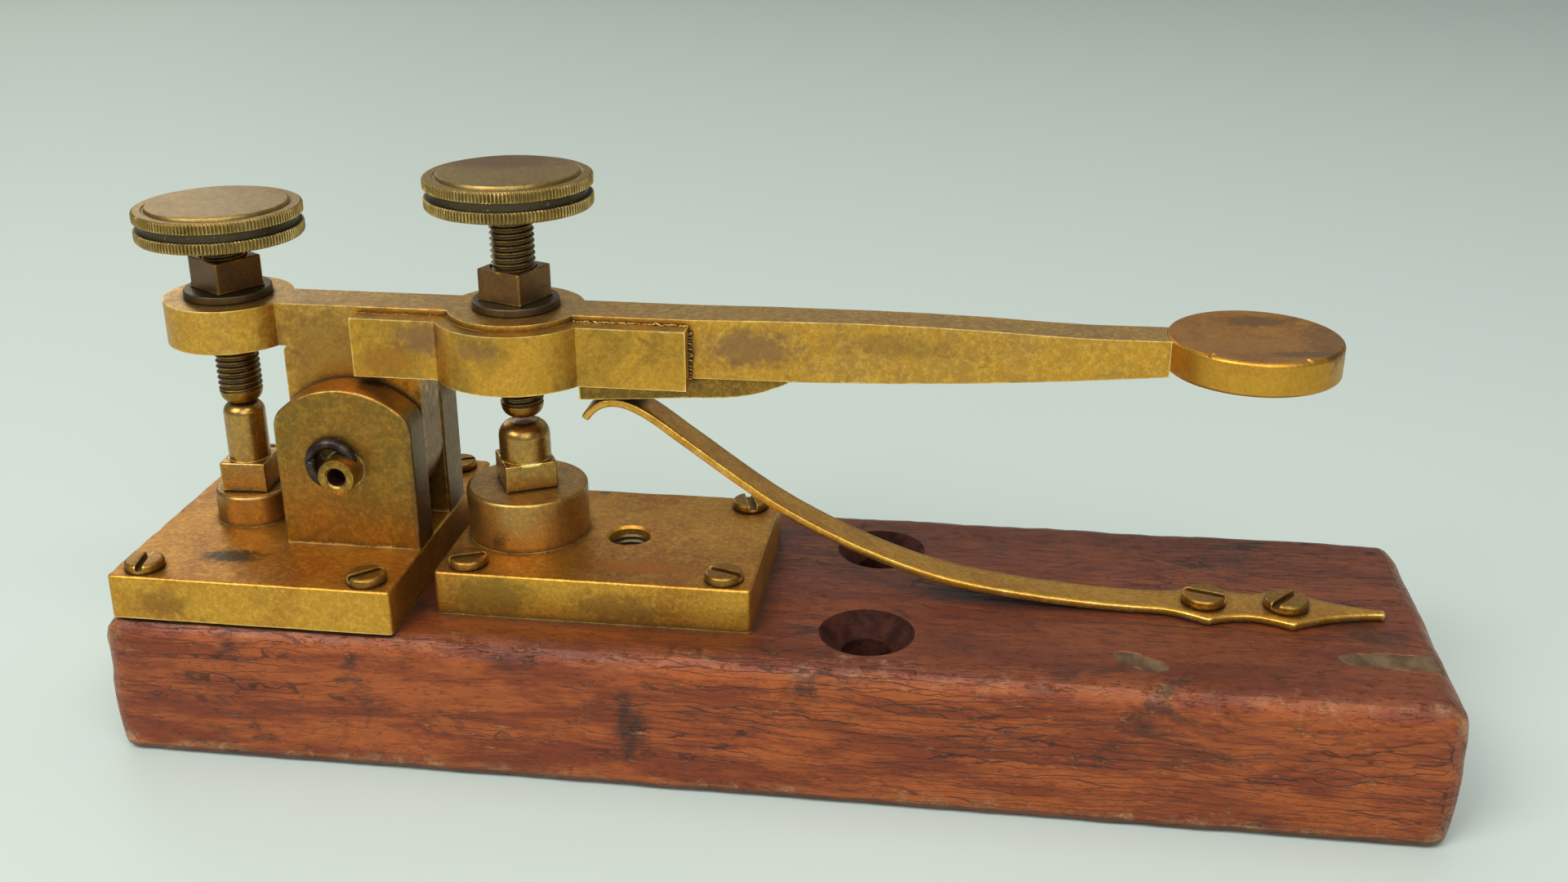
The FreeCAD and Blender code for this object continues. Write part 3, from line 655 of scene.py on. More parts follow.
def wearBlock(bm, low, high):
    # rounded corners lose a little more wood here and there, and the ends are slightly barrelled
    centre, half = (low + high) / 2, (high - low) / 2
    bm.normal_update()
    for v in bm.verts:
        gaps = sorted(half[i] - abs(v.co[i] - centre[i]) for i in range(3))
        nearEdge = max(0, 1 - gaps[1] / 5)
        rough = noise.noise(v.co / 11) * 0.7 + noise.noise(v.co / 3) * 0.4
        wear = nearEdge * baseBlock["edgeWear"] * max(0, 0.35 + rough) * (1 if v.co.z > centre.z else 0.35)
        wear -= baseBlock["waviness"] * noise.noise(v.co / 26)
        v.co -= v.normal * wear
        nearEnd = max(0, abs(v.co.x - centre.x) - half.x + 12) / 12
        crown = baseBlock["endCrown"] * nearEnd * ((v.co.z - centre.z) / half.z) ** 2
        v.co.x -= math.copysign(crown, v.co.x - centre.x)
        v.co.z = min(max(v.co.z, low.z), high.z)


def inGouge(point, grow):
    for centre, size, turn in baseBlock["gouges"]:
        local = Matrix.Rotation(math.radians(-turn), 3, "Z") @ (point - Vector(centre))
        if sum((local[i] / size[i]) ** 2 for i in range(3)) < grow:
            return True
    return False


def makeBase():
    b = baseBlock
    low, high = cad("base_block")
    holes = [Vector((b["holeX"], keyY + side * b["holeSpread"])) for side in (-1, 1)]
    bm = bmesh.new()
    shapeBlock(bm, low, high)
    wearBlock(bm, low, high)
    tools = []
    for hole in holes:
        lip = b["countersink"] + 0.3
        profile = [(0, -2), (b["holeRadius"], -2), (b["holeRadius"], high.z - b["countersinkDepth"]),
                   (b["countersink"] - 0.5, high.z - 0.5), (lip, high.z + 0.05), (lip + 1.6, high.z + 1),
                   (0, high.z + 1)]
        tools.append(turnedTool(profile, 56, (*hole, 0)))
    for centre, size, turn in b["gouges"]:
        tool = bmesh.new()
        shape = Matrix.Translation(centre) @ Matrix.Rotation(math.radians(turn), 4, "Z")
        shape = shape @ Matrix.Diagonal((*size, 1))
        bmesh.ops.create_icosphere(tool, subdivisions=4, radius=1, matrix=shape)
        for v in tool.verts:
            v.co += Vector((0, 0.7, 0.2)) * noise.noise(v.co / 3.2)
        tools.append(tool)
    combine(bm, tools, "DIFFERENCE")
    # the countersinks take the second material: grime and painted shade inside the holes
    for face in bm.faces:
        spot = face.calc_center_median()
        reach = min((spot.xy - hole).length for hole in holes)
        if reach < b["countersink"] + 0.2 and spot.z > 0.5:
            face.material_index = 1
        elif spot.z < high.z - 0.12 and inGouge(spot, 1.5):
            face.material_index = 2
    materials = [agedWood, holeGrimeAndShade, bareWood]
    return finishPiece(bm, "wornBaseBlock", "base", materials, ["base_block"])


# the two brass plates

plateShape = {"edge": 0.5, "cornerRound": 0.8, "grid": 2.2, "dents": 0.09}


def makePlate(node, name, holes):
    low, high = cad(node)
    bm = bmesh.new()
    addBlock(bm, low, high)
    corners = [e for e in bm.edges if abs(e.verts[0].co.z - e.verts[1].co.z) > 1]
    roundEdges(bm, corners, plateShape["cornerRound"])
    rims = [e for e in bm.edges if len(e.link_faces) == 2 and e.calc_face_angle() > 0.6
            and e.verts[0].co.z > high.z - 0.01 and e.verts[1].co.z > high.z - 0.01]
    roundEdges(bm, rims, plateShape["edge"])
    cutGrid(bm, 0, plateShape["grid"])
    cutGrid(bm, 1, plateShape["grid"])
    bm.normal_update()
    for v in bm.verts:
        dent = max(0, noise.noise(v.co / 2.3 + Vector((low.x, 5, 1))) - 0.05)
        onRim = high.z - 1.2 < v.co.z < high.z - 0.02
        v.co -= v.normal * plateShape["dents"] * (4.0 * dent if onRim else dent)
    tools = []
    for x, y, radius in holes:
        profile = [(0, low.z - 2), (radius, low.z - 2), (radius, high.z - 0.45),
                   (radius + 0.5, high.z + 0.05), (radius + 2, high.z + 1.5), (0, high.z + 1.5)]
        tools.append(turnedTool(profile, 56, (x, y, 0)))
    if tools:
        combine(bm, tools, "DIFFERENCE")
    return finishPiece(bm, name, "base", [plateBrass], [node])


# thread rings inside the tapped hole of the front plate

terminal = mounts["terminal_hole"]
tappedHole = {"x": terminal["pos_m"][0] / mm, "y": terminal["pos_m"][1] / mm,
              "radius": terminal["dims"]["r_mm"], "depth": 0.28, "pitch": 1.0}


def makeTappedRings():
    t = tappedHole
    low, high = cad("front_plate")
    bm = bmesh.new()
    wall, crest = t["radius"] + 0.02, t["radius"] - t["depth"]
    profile = [(wall, low.z + 0.05)]
    count = int((high.z - low.z - 1.0) / t["pitch"])
    for i in range(count):
        z = low.z + 0.3 + i * t["pitch"]
        profile += [(wall, z), (crest, z + 0.35), (crest, z + 0.5), (wall, z + 0.85)]
    outer = t["radius"] + 0.3
    profile += [(wall, high.z - 0.6), (outer, high.z - 0.6), (outer, low.z + 0.05), profile[0]]
    addTurned(bm, profile, 56, (t["x"], t["y"], 0))
    return finishPiece(bm, "tappedHoleThread", "base", [washerBronze])


# slotted wood screws

plateScrew = {"radius": 3.2, "height": 1.55, "slot": 1.15, "slotDepth": 0.95, "shoulder": 0.62}
springScrew = {"radius": 3.65, "height": 1.7, "slot": 1.3, "slotDepth": 1.0, "shoulder": 0.6}


def addScrewHead(bm, x, y, seat, size, angle):
    radius, height, shoulder = size["radius"], size["height"], size["shoulder"]
    profile = [(0, 0), (radius - 0.12, 0), (radius, 0.15), (radius, height - shoulder)]
    profile += roundCorner(radius - shoulder, height - shoulder, shoulder, 12, 84, 5) + [(0, height)]
    head = turnedTool(profile, 48)
    cutter = bmesh.new()
    halfSlot = size["slot"] / 2
    addBlock(cutter, (-2 * radius, -halfSlot, height - size["slotDepth"]), (2 * radius, halfSlot, 9))
    combine(head, [cutter], "DIFFERENCE")
    bevelSharp(head, 0.12, 2, 50)
    turn = Matrix.Translation((x, y, seat)) @ Matrix.Rotation(math.radians(angle), 4, "Z")
    bmesh.ops.transform(head, matrix=turn, verts=head.verts[:])
    addCopy(bm, head)


def makeScrews(node, name, places, size, seat):
    bm = bmesh.new()
    for x, y, angle in places:
        addScrewHead(bm, x, y, seat, size, angle)
    return finishPiece(bm, name, "base", [screwBrass], [node])


def cornerPlaces(node, angles):
    low, high = cad(node)
    insetX, insetY = 5, 3.8
    spots = [(x, y) for y in (low.y + insetY, high.y - insetY) for x in (low.x + insetX, high.x - insetX)]
    return [(x, y, angle) for (x, y), angle in zip(spots, angles)]


# the pivot: cheeks, hollow pin, wire ring

cheekShape = {"shoulderDrop": 5.4, "shoulderRound": 4.5, "edge": 0.5, "pinGap": 0.05}
pinShape = {"radius": 3.1, "bore": 1.5, "boreDepth": 4.5, "headDepth": 1.6}


def archPoints(left, right, base, top, drop, cornerRadius):
    # flat sides, a low arch and rounded shoulders
    half = (right - left) / 2
    archRadius = (half * half + drop * drop) / (2 * drop)
    centreX, centreZ = (left + right) / 2, top - archRadius
    cornerX = half - cornerRadius
    cornerZ = math.sqrt((archRadius - cornerRadius) ** 2 - cornerX ** 2)
    meet = math.degrees(math.atan2(cornerZ, cornerX))
    arc = roundCorner(centreX + cornerX, centreZ + cornerZ, cornerRadius, 0, meet, 10)
    arc += roundCorner(centreX, centreZ, archRadius, meet, 180 - meet, 30)[1:]
    arc += roundCorner(centreX - cornerX, centreZ + cornerZ, cornerRadius, 180 - meet, 180, 10)[1:]
    return [(left, base), (right, base)] + arc


def makeCheek(node, name):
    low, high = cad(node)
    bm = bmesh.new()
    addOutline(bm, archPoints(low.x, high.x, low.z, high.z, cheekShape["shoulderDrop"],
                              cheekShape["shoulderRound"]), high.y - low.y)
    moveAll(bm, (0, low.y, 0))
    rims = [e for e in bm.edges if len(e.link_faces) == 2 and e.calc_face_angle() > 0.6
            and max(v.co.z for v in e.verts) > low.z + 0.1]
    roundEdges(bm, rims, cheekShape["edge"])
    radius = pinShape["radius"] + cheekShape["pinGap"]
    combine(bm, [crossRod(middle("pivot_pin").x, pivotZ, low.y - 2, high.y + 2, radius)], "DIFFERENCE")
    return finishPiece(bm, name, "base", [cheekBrass], [node])


def makePin():
    low, high = cad("pivot_pin")
    length = high.y - low.y
    outer, bore, deep, depth = (pinShape[k] for k in ("radius", "bore", "boreDepth", "headDepth"))
    head = (high.x - low.x) / 2
    profile = [(0, deep), (bore + 0.05, deep), (bore + 0.05, 0.3), (bore + 0.35, 0.0),
               (outer - 0.35, 0.0), (outer - 0.08, 0.12),
               (outer, 0.35), (outer, length - depth), (head - 0.4, length - depth), (head, length - 1.2),
               (head, length - 0.6), (head - 0.6, length), (bore + 0.2, length), (bore, length - 0.2),
               (bore, length - deep), (0, length - deep)]
    bm = bmesh.new()
    addTurned(bm, profile, 64)
    # the bore takes the second material: grime and painted shade
    for face in bm.faces:
        spot = face.calc_center_median()
        if math.hypot(spot.x, spot.y) < bore + 0.1:
            face.material_index = 1
    bmesh.ops.rotate(bm, verts=bm.verts[:], cent=(0, 0, 0), matrix=Matrix.Rotation(-math.pi / 2, 3, "X"))
    moveAll(bm, (middle("pivot_pin").x, low.y, pivotZ))
    return finishPiece(bm, "hollowPin", "base", [pinBrass, holeGrimeAndShade], ["pivot_pin"])


clipShape = {"wire": 0.88, "ring": 3.65, "dx": -1.9, "dz": 1.05, "start": -18, "sweep": 216,
             "strandRing": 2.95, "strandStart": 166, "strandSweep": 96, "strandStep": 1.15}


def addWire(bm, ring, start, sweep, wire, y, centre):
    # a bent wire: its section is spun, and its ends are rounded over
    section = bmesh.new()
    steps = max(8, int(abs(sweep) / 5))
    loop = bmesh.ops.create_circle(section, cap_ends=False, radius=wire, segments=16,
                                   matrix=Matrix.Translation((ring, 0, 0)))["verts"]
    edges = section.edges[:]
    bmesh.ops.spin(section, geom=loop + edges, cent=(0, 0, 0), axis=(0, -1, 0), dvec=(0, 0, 0),
                   angle=math.radians(sweep), steps=steps, use_merge=False, use_duplicate=False)
    for inset in (0.35, 0.75):
        rims = [e for e in section.edges if e.is_boundary]
        grown = bmesh.ops.extrude_edge_only(section, edges=rims)["geom"]
        verts = [v for v in grown if isinstance(v, bmesh.types.BMVert)]
        for group in splitByEnd(verts):
            mid = sum((v.co for v in group), Vector()) / len(group)
            sign = 1 if abs(math.atan2(mid.z, mid.x)) > 0.02 else -1
            along = Vector((-mid.z, 0, mid.x)).normalized() * sign
            for v in group:
                v.co = mid + (v.co - mid) * (1 - inset) + along * wire * 0.35
    bmesh.ops.holes_fill(section, edges=[e for e in section.edges if e.is_boundary], sides=0)
    bmesh.ops.rotate(section, verts=section.verts[:], cent=(0, 0, 0),
                     matrix=Matrix.Rotation(-math.radians(start), 3, "Y"))
    moveAll(section, (centre[0], y, centre[1]))
    faceOutward(section)
    addCopy(bm, section)


def splitByEnd(verts):
    first = [v for v in verts if (v.co - verts[0].co).length < 3]
    return first, [v for v in verts if v not in first]


def makeClip():
    c = clipShape
    centre = (middle("pivot_pin").x + c["dx"], pivotZ + c["dz"])
    bm = bmesh.new()
    seat = cad("pin_clip")[1].y - c["wire"]
    addWire(bm, c["ring"], c["start"], c["sweep"], c["wire"], seat, centre)
    addWire(bm, c["strandRing"], c["strandStart"], c["strandSweep"], c["wire"],
            seat - c["strandStep"], centre)
    return finishPiece(bm, "wireClip", "base", [blackWire], ["pin_clip"], 60)


def turnedPiece(node, name, body, material, profile, steps):
    bm = bmesh.new()
    addTurned(bm, profile, steps, (middle(node).x, keyY, cad(node)[0].z))
    return finishPiece(bm, name, body, [material], [node])


# screw threads

screwBore = 3.72  # of the lever's bosses and the nuts
threadShape = {"pitch": 1.0, "crest": 3.65, "root": 3.25, "steps": 40}


def addThread(bm, low, high):
    # one pitch of thread, spun up a helix, then cut flat and closed at both ends
    pitch, crest, root, steps = (threadShape[k] for k in ("pitch", "crest", "root", "steps"))
    turns = math.ceil((high - low) / pitch) + 2
    points = [(root, 0.0), (root, 0.34), (crest - 0.04, 0.60), (crest, 0.64), (crest, 0.70),
              (crest - 0.04, 0.74), (root, 1.0)]
    verts = [bm.verts.new((radius, 0, low - pitch + z * pitch)) for radius, z in points]
    edges = [bm.edges.new(pair) for pair in zip(verts, verts[1:])]
    bmesh.ops.spin(bm, geom=verts + edges, cent=(0, 0, 0), axis=(0, 0, 1), dvec=(0, 0, pitch / steps),
                   angle=math.tau * turns, steps=steps * turns, use_merge=False, use_duplicate=False)
    bmesh.ops.remove_doubles(bm, verts=bm.verts[:], dist=1e-3)
    for z, normal in ((low, (0, 0, -1)), (high, (0, 0, 1))):
        sliceAt(bm, (0, 0, z), normal, True)
        rim = [e for e in bm.edges if e.is_boundary and all(abs(v.co.z - z) < 1e-3 for v in e.verts)]
        bmesh.ops.contextual_create(bm, geom=rim)


def makeScrew(node, name, body):
    low, high = cad(node)
    bm = bmesh.new()
    addThread(bm, low.z + 0.02, high.z - 2)
    moveAll(bm, (middle(node).x, keyY, 0))
    return finishPiece(bm, name, body, [threadBronze], [node], 35)


def makeTip(node, name, body):
    low, high = cad(node)
    height, crest, face = 2.3, 3.6, 1.8
    profile = [(0, 0), (face, 0)] + roundCorner(crest - 2.1, 2.0, 2.05, -80, -8, 8)
    full = high.z - low.z
    profile += [(crest, height - 0.1), (crest - 0.1, height), (1.5, height), (1.5, full), (0, full)]
    return turnedPiece(node, name, body, tipBronze, profile, 64)


# knurled knobs

knobShape = {"teeth": 140, "toothDepth": 0.32, "radius": 13.6, "groove": 12.72, "plateau": 11.4,
             "lowerRim": 1.95, "upperRim": 1.75, "rise": 0.5}


def makeKnob(node, name, body):
    low, high = cad(node)
    k = knobShape
    r, top = k["radius"], high.z - low.z
    lower, groove, plateau = k["lowerRim"], k["groove"], k["plateau"]
    rimTop = top - k["rise"]
    slopeTop = rimTop - k["upperRim"]
    throat = (slopeTop + lower) / 2
    profile = [(0, 0.25), (7.5, 0.25), (7.9, 0), (r - 0.75, 0.0), (r - 0.3, 0.12), (r - 0.06, 0.38), (r, 0.6),
               (r, lower - 0.2), (r - 0.04, lower - 0.08), (r - 0.25, lower + 0.02),
               (groove + 0.05, lower + 0.14), (groove, lower + 0.3),
               (groove, throat), (groove, slopeTop - 0.3), (groove + 0.05, slopeTop - 0.14),
               (r - 0.25, slopeTop - 0.02), (r - 0.04, slopeTop + 0.08), (r, slopeTop + 0.2),
               (r, rimTop - 0.40),
               (r - 0.10, rimTop - 0.16), (r - 0.42, rimTop), (plateau + 0.60, rimTop),
               (plateau + 0.38, rimTop - 0.14), (plateau + 0.16, rimTop - 0.10),
               (plateau + 0.04, top - 0.26), (plateau - 0.10, top - 0.08), (plateau - 0.34, top),
               (6, top - 0.04), (0, top - 0.06)]
    bm = bmesh.new()
    columns = k["teeth"] * 4
    addTurned(bm, profile, columns)
    for v in bm.verts:
        radius = v.co.xy.length
        if radius > r - 0.2:
            column = round(math.atan2(v.co.y, v.co.x) / math.tau * columns) % 4
            depth = (0, 0.12, 1, 0.88)[column] * k["toothDepth"] * (0.7 + 0.3 * noise.noise(v.co / 2))
            v.co.xy = v.co.xy * (1 - depth / radius)
    for face in bm.faces:
        spot = face.calc_center_median()
        if lower < spot.z < slopeTop and spot.xy.length < r - 0.12:
            face.material_index = 1
    moveAll(bm, (middle(node).x, keyY, low.z))
    return finishPiece(bm, name, body, [knobBrass, grooveBronze], [node], 25)


# nuts, washers, pedestals and posts

def squareRadius(angle, half):
    return half / max(abs(math.cos(angle)), abs(math.sin(angle)))


def addSquareRing(bm, x, y, levels, bore, turn):
    # a square block round a round bore: a circle is extruded out, down and back in; levels are (z, side)
    steps = 48
    ring = bmesh.ops.create_circle(bm, cap_ends=False, radius=bore, segments=steps,
                                   matrix=Matrix.Translation((0, 0, levels[0][0])))["verts"]
    firstEdges = edges = list({e for v in ring for e in v.link_edges})
    for z, side in levels + [(levels[-1][0], None)]:
        grown = bmesh.ops.extrude_edge_only(bm, edges=edges)["geom"]
        edges = [e for e in grown if isinstance(e, bmesh.types.BMEdge)]
        for v in grown:
            if isinstance(v, bmesh.types.BMVert):
                angle = math.atan2(v.co.y, v.co.x)
                radius = bore if side is None else squareRadius(angle, side / 2)
                v.co = Vector((radius * math.cos(angle), radius * math.sin(angle), z))
    bmesh.ops.bridge_loops(bm, edges=firstEdges + edges)
    faceOutward(bm)
    place = Matrix.Translation((x, y, 0)) @ Matrix.Rotation(math.radians(turn), 4, "Z")
    bmesh.ops.transform(bm, matrix=place, verts=bm.verts[:])


nutShape = {"side": 8.5, "footSide": 9.0, "footHeight": 0.9}


def makeNut(node, name, body, turn):
    low, high = cad(node)
    bm = bmesh.new()
    levels = [(high.z, nutShape["side"]), (low.z + nutShape["footHeight"], nutShape["side"]),
              (low.z, nutShape["footSide"])]
    addSquareRing(bm, middle(node).x, keyY, levels, screwBore, turn)
    bevelSharp(bm, 0.32, 3, 40)
    return finishPiece(bm, name, body, [nutBronze], [node], 30)


def makeWasher(node, name):
    low, high = cad(node)
    radius, height = (high.x - low.x) / 2 - 0.2, high.z - low.z
    bore = 3.9
    profile = [(bore, 0), (radius - 0.25, 0), (radius - 0.05, 0.1), (radius, 0.25), (radius, height - 0.3)]
    profile += roundCorner(radius - 0.28, height - 0.28, 0.28, 10, 90, 4)
    profile += [(radius - 1.1, height - 0.02), (bore, height), (bore, 0)]
    return turnedPiece(node, name, "lever", washerBronze, profile, 80)


def makePedestal(node, name):
    low, high = cad(node)
    radius, height = (high.x - low.x) / 2, high.z - low.z
    bore, edge = 2.6, 0.75
    profile = [(bore, 0), (radius, 0), (radius, height - edge)]
    profile += roundCorner(radius - edge, height - edge, edge, 10, 90, 5) + [(bore, height), (bore, 0)]
    return turnedPiece(node, name, "base", pedestalBrass, profile, 96)


rearPost = {"seat": 38.3, "collarTop": 43.65, "side": 8.05, "turn": 3, "radius": 3.5, "shoulder": 2.0,
            "inset": 1.7}
frontPost = {"seat": 41.6, "collarTop": 46.4, "side": 8.9, "turn": 28, "radius": 4.35, "shoulder": 2.6,
             "inset": 2.0}


def makePost(node, name, p):
    low, high = cad(node)
    x = middle(node).x
    bm = bmesh.new()
    addSquareRing(bm, x, keyY, [(p["collarTop"], p["side"]), (p["seat"], p["side"])], 2.4, p["turn"])
    bevelSharp(bm, 0.32, 3, 40)
    stud, columnFoot = 2.45, p["collarTop"] - 0.5
    profile = [(0, low.z), (stud, low.z), (stud, columnFoot), (p["radius"], columnFoot)]
    profile += roundCorner(p["radius"] - p["shoulder"], high.z - p["shoulder"], p["shoulder"], 0, 82, 9)
    profile += [(p["inset"] + 0.06, high.z - 0.01), (p["inset"] + 0.02, high.z - 0.4), (0, high.z - 0.4)]
    addCopy(bm, turnedTool(profile, 72, (x, keyY, 0)))
    return finishPiece(bm, name, "base", [postBrass], [node])


def makeContact(node, name):
    low, high = cad(node)
    radius, height = (high.x - low.x) / 2, high.z - low.z
    profile = [(0, 0), (radius, 0), (radius, height - 0.12), (radius - 0.2, height - 0.02), (0, height)]
    return turnedPiece(node, name, "base", contactMetal, profile, 40)


# the leaf spring

springShape = {
    "thickness": 1.35,
    "halfWidth": 3.35,
    # the top of the strip as Bezier knots: point, handle in, handle out, as (x, z)
    "curve": [((101.3, 26.35), (101.3, 26.35), (90, 26.35)), ((62, 26.35), (66, 26.35), (52, 26.35)),
              ((30, 29.3), (38, 27.6), (20, 31.6)), ((0, 41.9), (8.5, 36.6), (-6, 45.8)),
              ((-15, 52.5), (-11, 49.7), (-18, 54.7)), ((-26.4, 58.5), (-22.4, 58.5), (-29.2, 58.5)),
              ((-32, 55.2), (-30.9, 56.9), (-32, 55.2))],
    # half width of the foot: two lobes with pointed corners and hollow waists, then the tail
    "lobes": [(64.0, 3.35), (72.2, 6.3), (79.0, 4.2), (85.7, 6.3), (101.3, 0.9)],
    "hollow": 1.7,
}


def springHalfWidth(x):
    lobes = springShape["lobes"]
    if x <= lobes[0][0]:
        return springShape["halfWidth"]
    for (x0, w0), (x1, w1) in zip(lobes, lobes[1:]):
        if x <= x1:
            t = (x - x0) / (x1 - x0)
            if w1 > w0:
                return w0 + (w1 - w0) * t ** springShape["hollow"]
            return w1 + (w0 - w1) * (1 - t) ** springShape["hollow"]
    return lobes[-1][1]


def springPath():
    path = []
    knots = springShape["curve"]
    for (p0, _, out), (p1, back, _) in zip(knots, knots[1:]):
        ends = [Vector((p[0], 0, p[1])) for p in (p0, out, back, p1)]
        count = max(6, round((ends[3] - ends[0]).length / 0.7))
        path += geometry.interpolate_bezier(*ends, count + 1)[0 if not path else 1:]
    return path


def makeSpring():
    bm = bmesh.new()
    path = springPath()
    sides = (-1, -0.6, 0, 0.6, 1)

    def widen(verts, point):
        ragged = 0.07 * noise.noise(Vector((point.x / 2.5, 4, 0)))
        halfWidth = springHalfWidth(point.x) - 0.07
        for v, side in zip(verts, sides):
            v.co = Vector((point.x, keyY + side * (halfWidth + ragged * abs(side)), point.z))

    verts = [bm.verts.new((path[0].x, keyY + side, path[0].z)) for side in sides]
    row = [bm.edges.new(pair) for pair in zip(verts, verts[1:])]
    widen(verts, path[0])
    for point in path[1:]:
        grown = bmesh.ops.extrude_edge_only(bm, edges=row)["geom"]
        verts = sorted((v for v in grown if isinstance(v, bmesh.types.BMVert)), key=lambda v: v.co.y)
        row = [e for e in grown if isinstance(e, bmesh.types.BMEdge)]
        widen(verts, point)
    faceOutward(bm)
    bm.normal_update()
    if sum(f.normal.z for f in bm.faces) < 0:
        bmesh.ops.reverse_faces(bm, faces=bm.faces[:])
    bmesh.ops.solidify(bm, geom=bm.faces[:], thickness=springShape["thickness"])
    bevelSharp(bm, 0.32, 2, 60)
    return finishPiece(bm, "bentSpring", None, [springBrass], ["leaf_spring"], 50)


# the lever and what is fixed to it

leverShape = {"half": 4.2, "top": 73.1, "low": 63.2, "lug": 11.6, "neck": 63.2, "pinBore": 3.15,
              "rearBoss": (10.6, 65.7), "frontBoss": (11.3, 62.1), "slim": 0.5, "slimFrom": -13, "slimTo": 12,
              "edge": 0.35, "discX": 75.6, "discRadius": 13.45}


def leverOutline():
    s = leverShape
    lug, low, top = s["lug"], s["low"], s["top"]
    bossX, bossLow = pivotX - lug + 1.0, s["rearBoss"][1]
    points = roundCorner(pivotX, pivotZ, lug, 180, 360, 28) + [(pivotX + lug, low), (0, low)]
    # the belly of the arm rises in a shallow curve, and its back is slightly crowned
    points += [(s["neck"] * t, low + 3.7 * t ** 1.75) for t in (0.15, 0.3, 0.45, 0.6, 0.75, 0.88, 1)]
    points += [(s["neck"], top - 0.4), (51, top - 0.5)]
    points += [(15 + 32 * t, top + 0.4 - 0.9 * t * t) for t in (0.9, 0.6, 0.3, 0)]
    points += [(0, top + 0.28), (s["slimFrom"], top), (rearX, top), (rearX, bossLow), (bossX, bossLow)]
    points += roundCorner(bossX, bossLow - 1.0, 1.0, 90, 180, 3)[1:-1]
    return points + [(pivotX - lug, bossLow - 1.0)]


def makeLever():
    s = leverShape
    bm = bmesh.new()
    addOutline(bm, leverOutline(), 2 * s["half"])
    moveAll(bm, (0, keyY - s["half"], 0))
    for x in (s["slimFrom"], s["slimTo"]):
        sliceAt(bm, (x, 0, 0), (1, 0, 0))
    for v in bm.verts:  # the arm gets thinner towards the finger disc
        slim = min(max((v.co.x - s["slimFrom"]) / (s["slimTo"] - s["slimFrom"]), 0), 1) * s["slim"]
        v.co.y = keyY + math.copysign(s["half"] - slim, v.co.y - keyY)
    combine(bm, [rod(x, keyY, foot, s["top"], radius, 96)
                 for x, (radius, foot) in ((rearX, s["rearBoss"]), (frontX, s["frontBoss"]))], "UNION")
    cuts = [rod(x, keyY, 50, 80, screwBore) for x in (rearX, frontX)]
    cuts.append(crossRod(pivotX, pivotZ, -20, 20, s["pinBore"]))
    cuts.append(rod(s["discX"], keyY, 50, 80, s["discRadius"], 112))
    combine(bm, cuts, "DIFFERENCE")
    bevelSharp(bm, s["edge"], 3, 35)
    return finishPiece(bm, "leverBar", "lever", [leverBrass], ["lever"], 35)


discShape = {"dish": 11.5, "depth": 0.75, "edge": 0.75,
             # nicks in the front rim: place on the rim in degrees, width
             "nicks": ((-127, 1.1), (-60, 1.3))}


def makeDisc():
    low, high = cad("finger_disc")
    d = discShape
    radius, height = (high.x - low.x) / 2, high.z - low.z
    profile = [(0, 0), (radius - 0.7, 0)] + roundCorner(radius - 0.6, 0.6, 0.6, -80, 0, 4)
    profile += roundCorner(radius - d["edge"], height - d["edge"], d["edge"], 0, 85, 5)
    profile += [(d["dish"] + 0.3, height - 0.05)]
    profile += [(d["dish"] * t, height - 0.07 - (d["depth"] - 0.07) * (1 - t * t))
                for t in (0.97, 0.9, 0.78, 0.6, 0.4, 0.2, 0)]
    bm = bmesh.new()
    addTurned(bm, profile, 128, (middle("finger_disc").x, keyY, low.z))
    faceOutward(bm)
    centreX = middle("finger_disc").x
    tools = []
    for degrees, width in d["nicks"]:
        a = math.radians(degrees)
        spot = Vector((centreX + math.cos(a) * radius, keyY + math.sin(a) * radius, high.z + 0.1))
        tool = bmesh.new()
        bmesh.ops.create_icosphere(tool, subdivisions=2, radius=1, matrix=Matrix.Translation(spot)
                                   @ Matrix.Rotation(a, 4, "Z") @ Matrix.Diagonal((1.6, width / 2, 0.55, 1)))
        tools.append(tool)
    combine(bm, tools, "DIFFERENCE")
    return finishPiece(bm, "fingerDisc", "lever", [discBrass], ["finger_disc"])


strapShape = {"depth": 3.3, "bulge": 13.9, "boss": 11.3, "edge": 0.45}


def makeStrap():
    low, high = cad("side_strap")
    s = strapShape
    face = high.y
    bm = bmesh.new()
    addBlock(bm, (low.x, face - s["depth"], low.z), (high.x, face, high.z))
    combine(bm, [rod(frontX, keyY, low.z, high.z, s["bulge"], 112)], "UNION")
    behind = bmesh.new()
    addBlock(behind, (-80, face, low.z - 1), (0, 20, high.z + 1))
    combine(bm, [behind, rod(frontX, keyY, low.z - 1, high.z + 1, s["boss"], 96)], "DIFFERENCE")
    bevelSharp(bm, s["edge"], 3, 35)
    return finishPiece(bm, "solderedStrap", "lever", [strapBrass], ["side_strap"], 35)


solderShape = {"lumpEvery": 0.42, "lump": 0.25, "seed": 11}


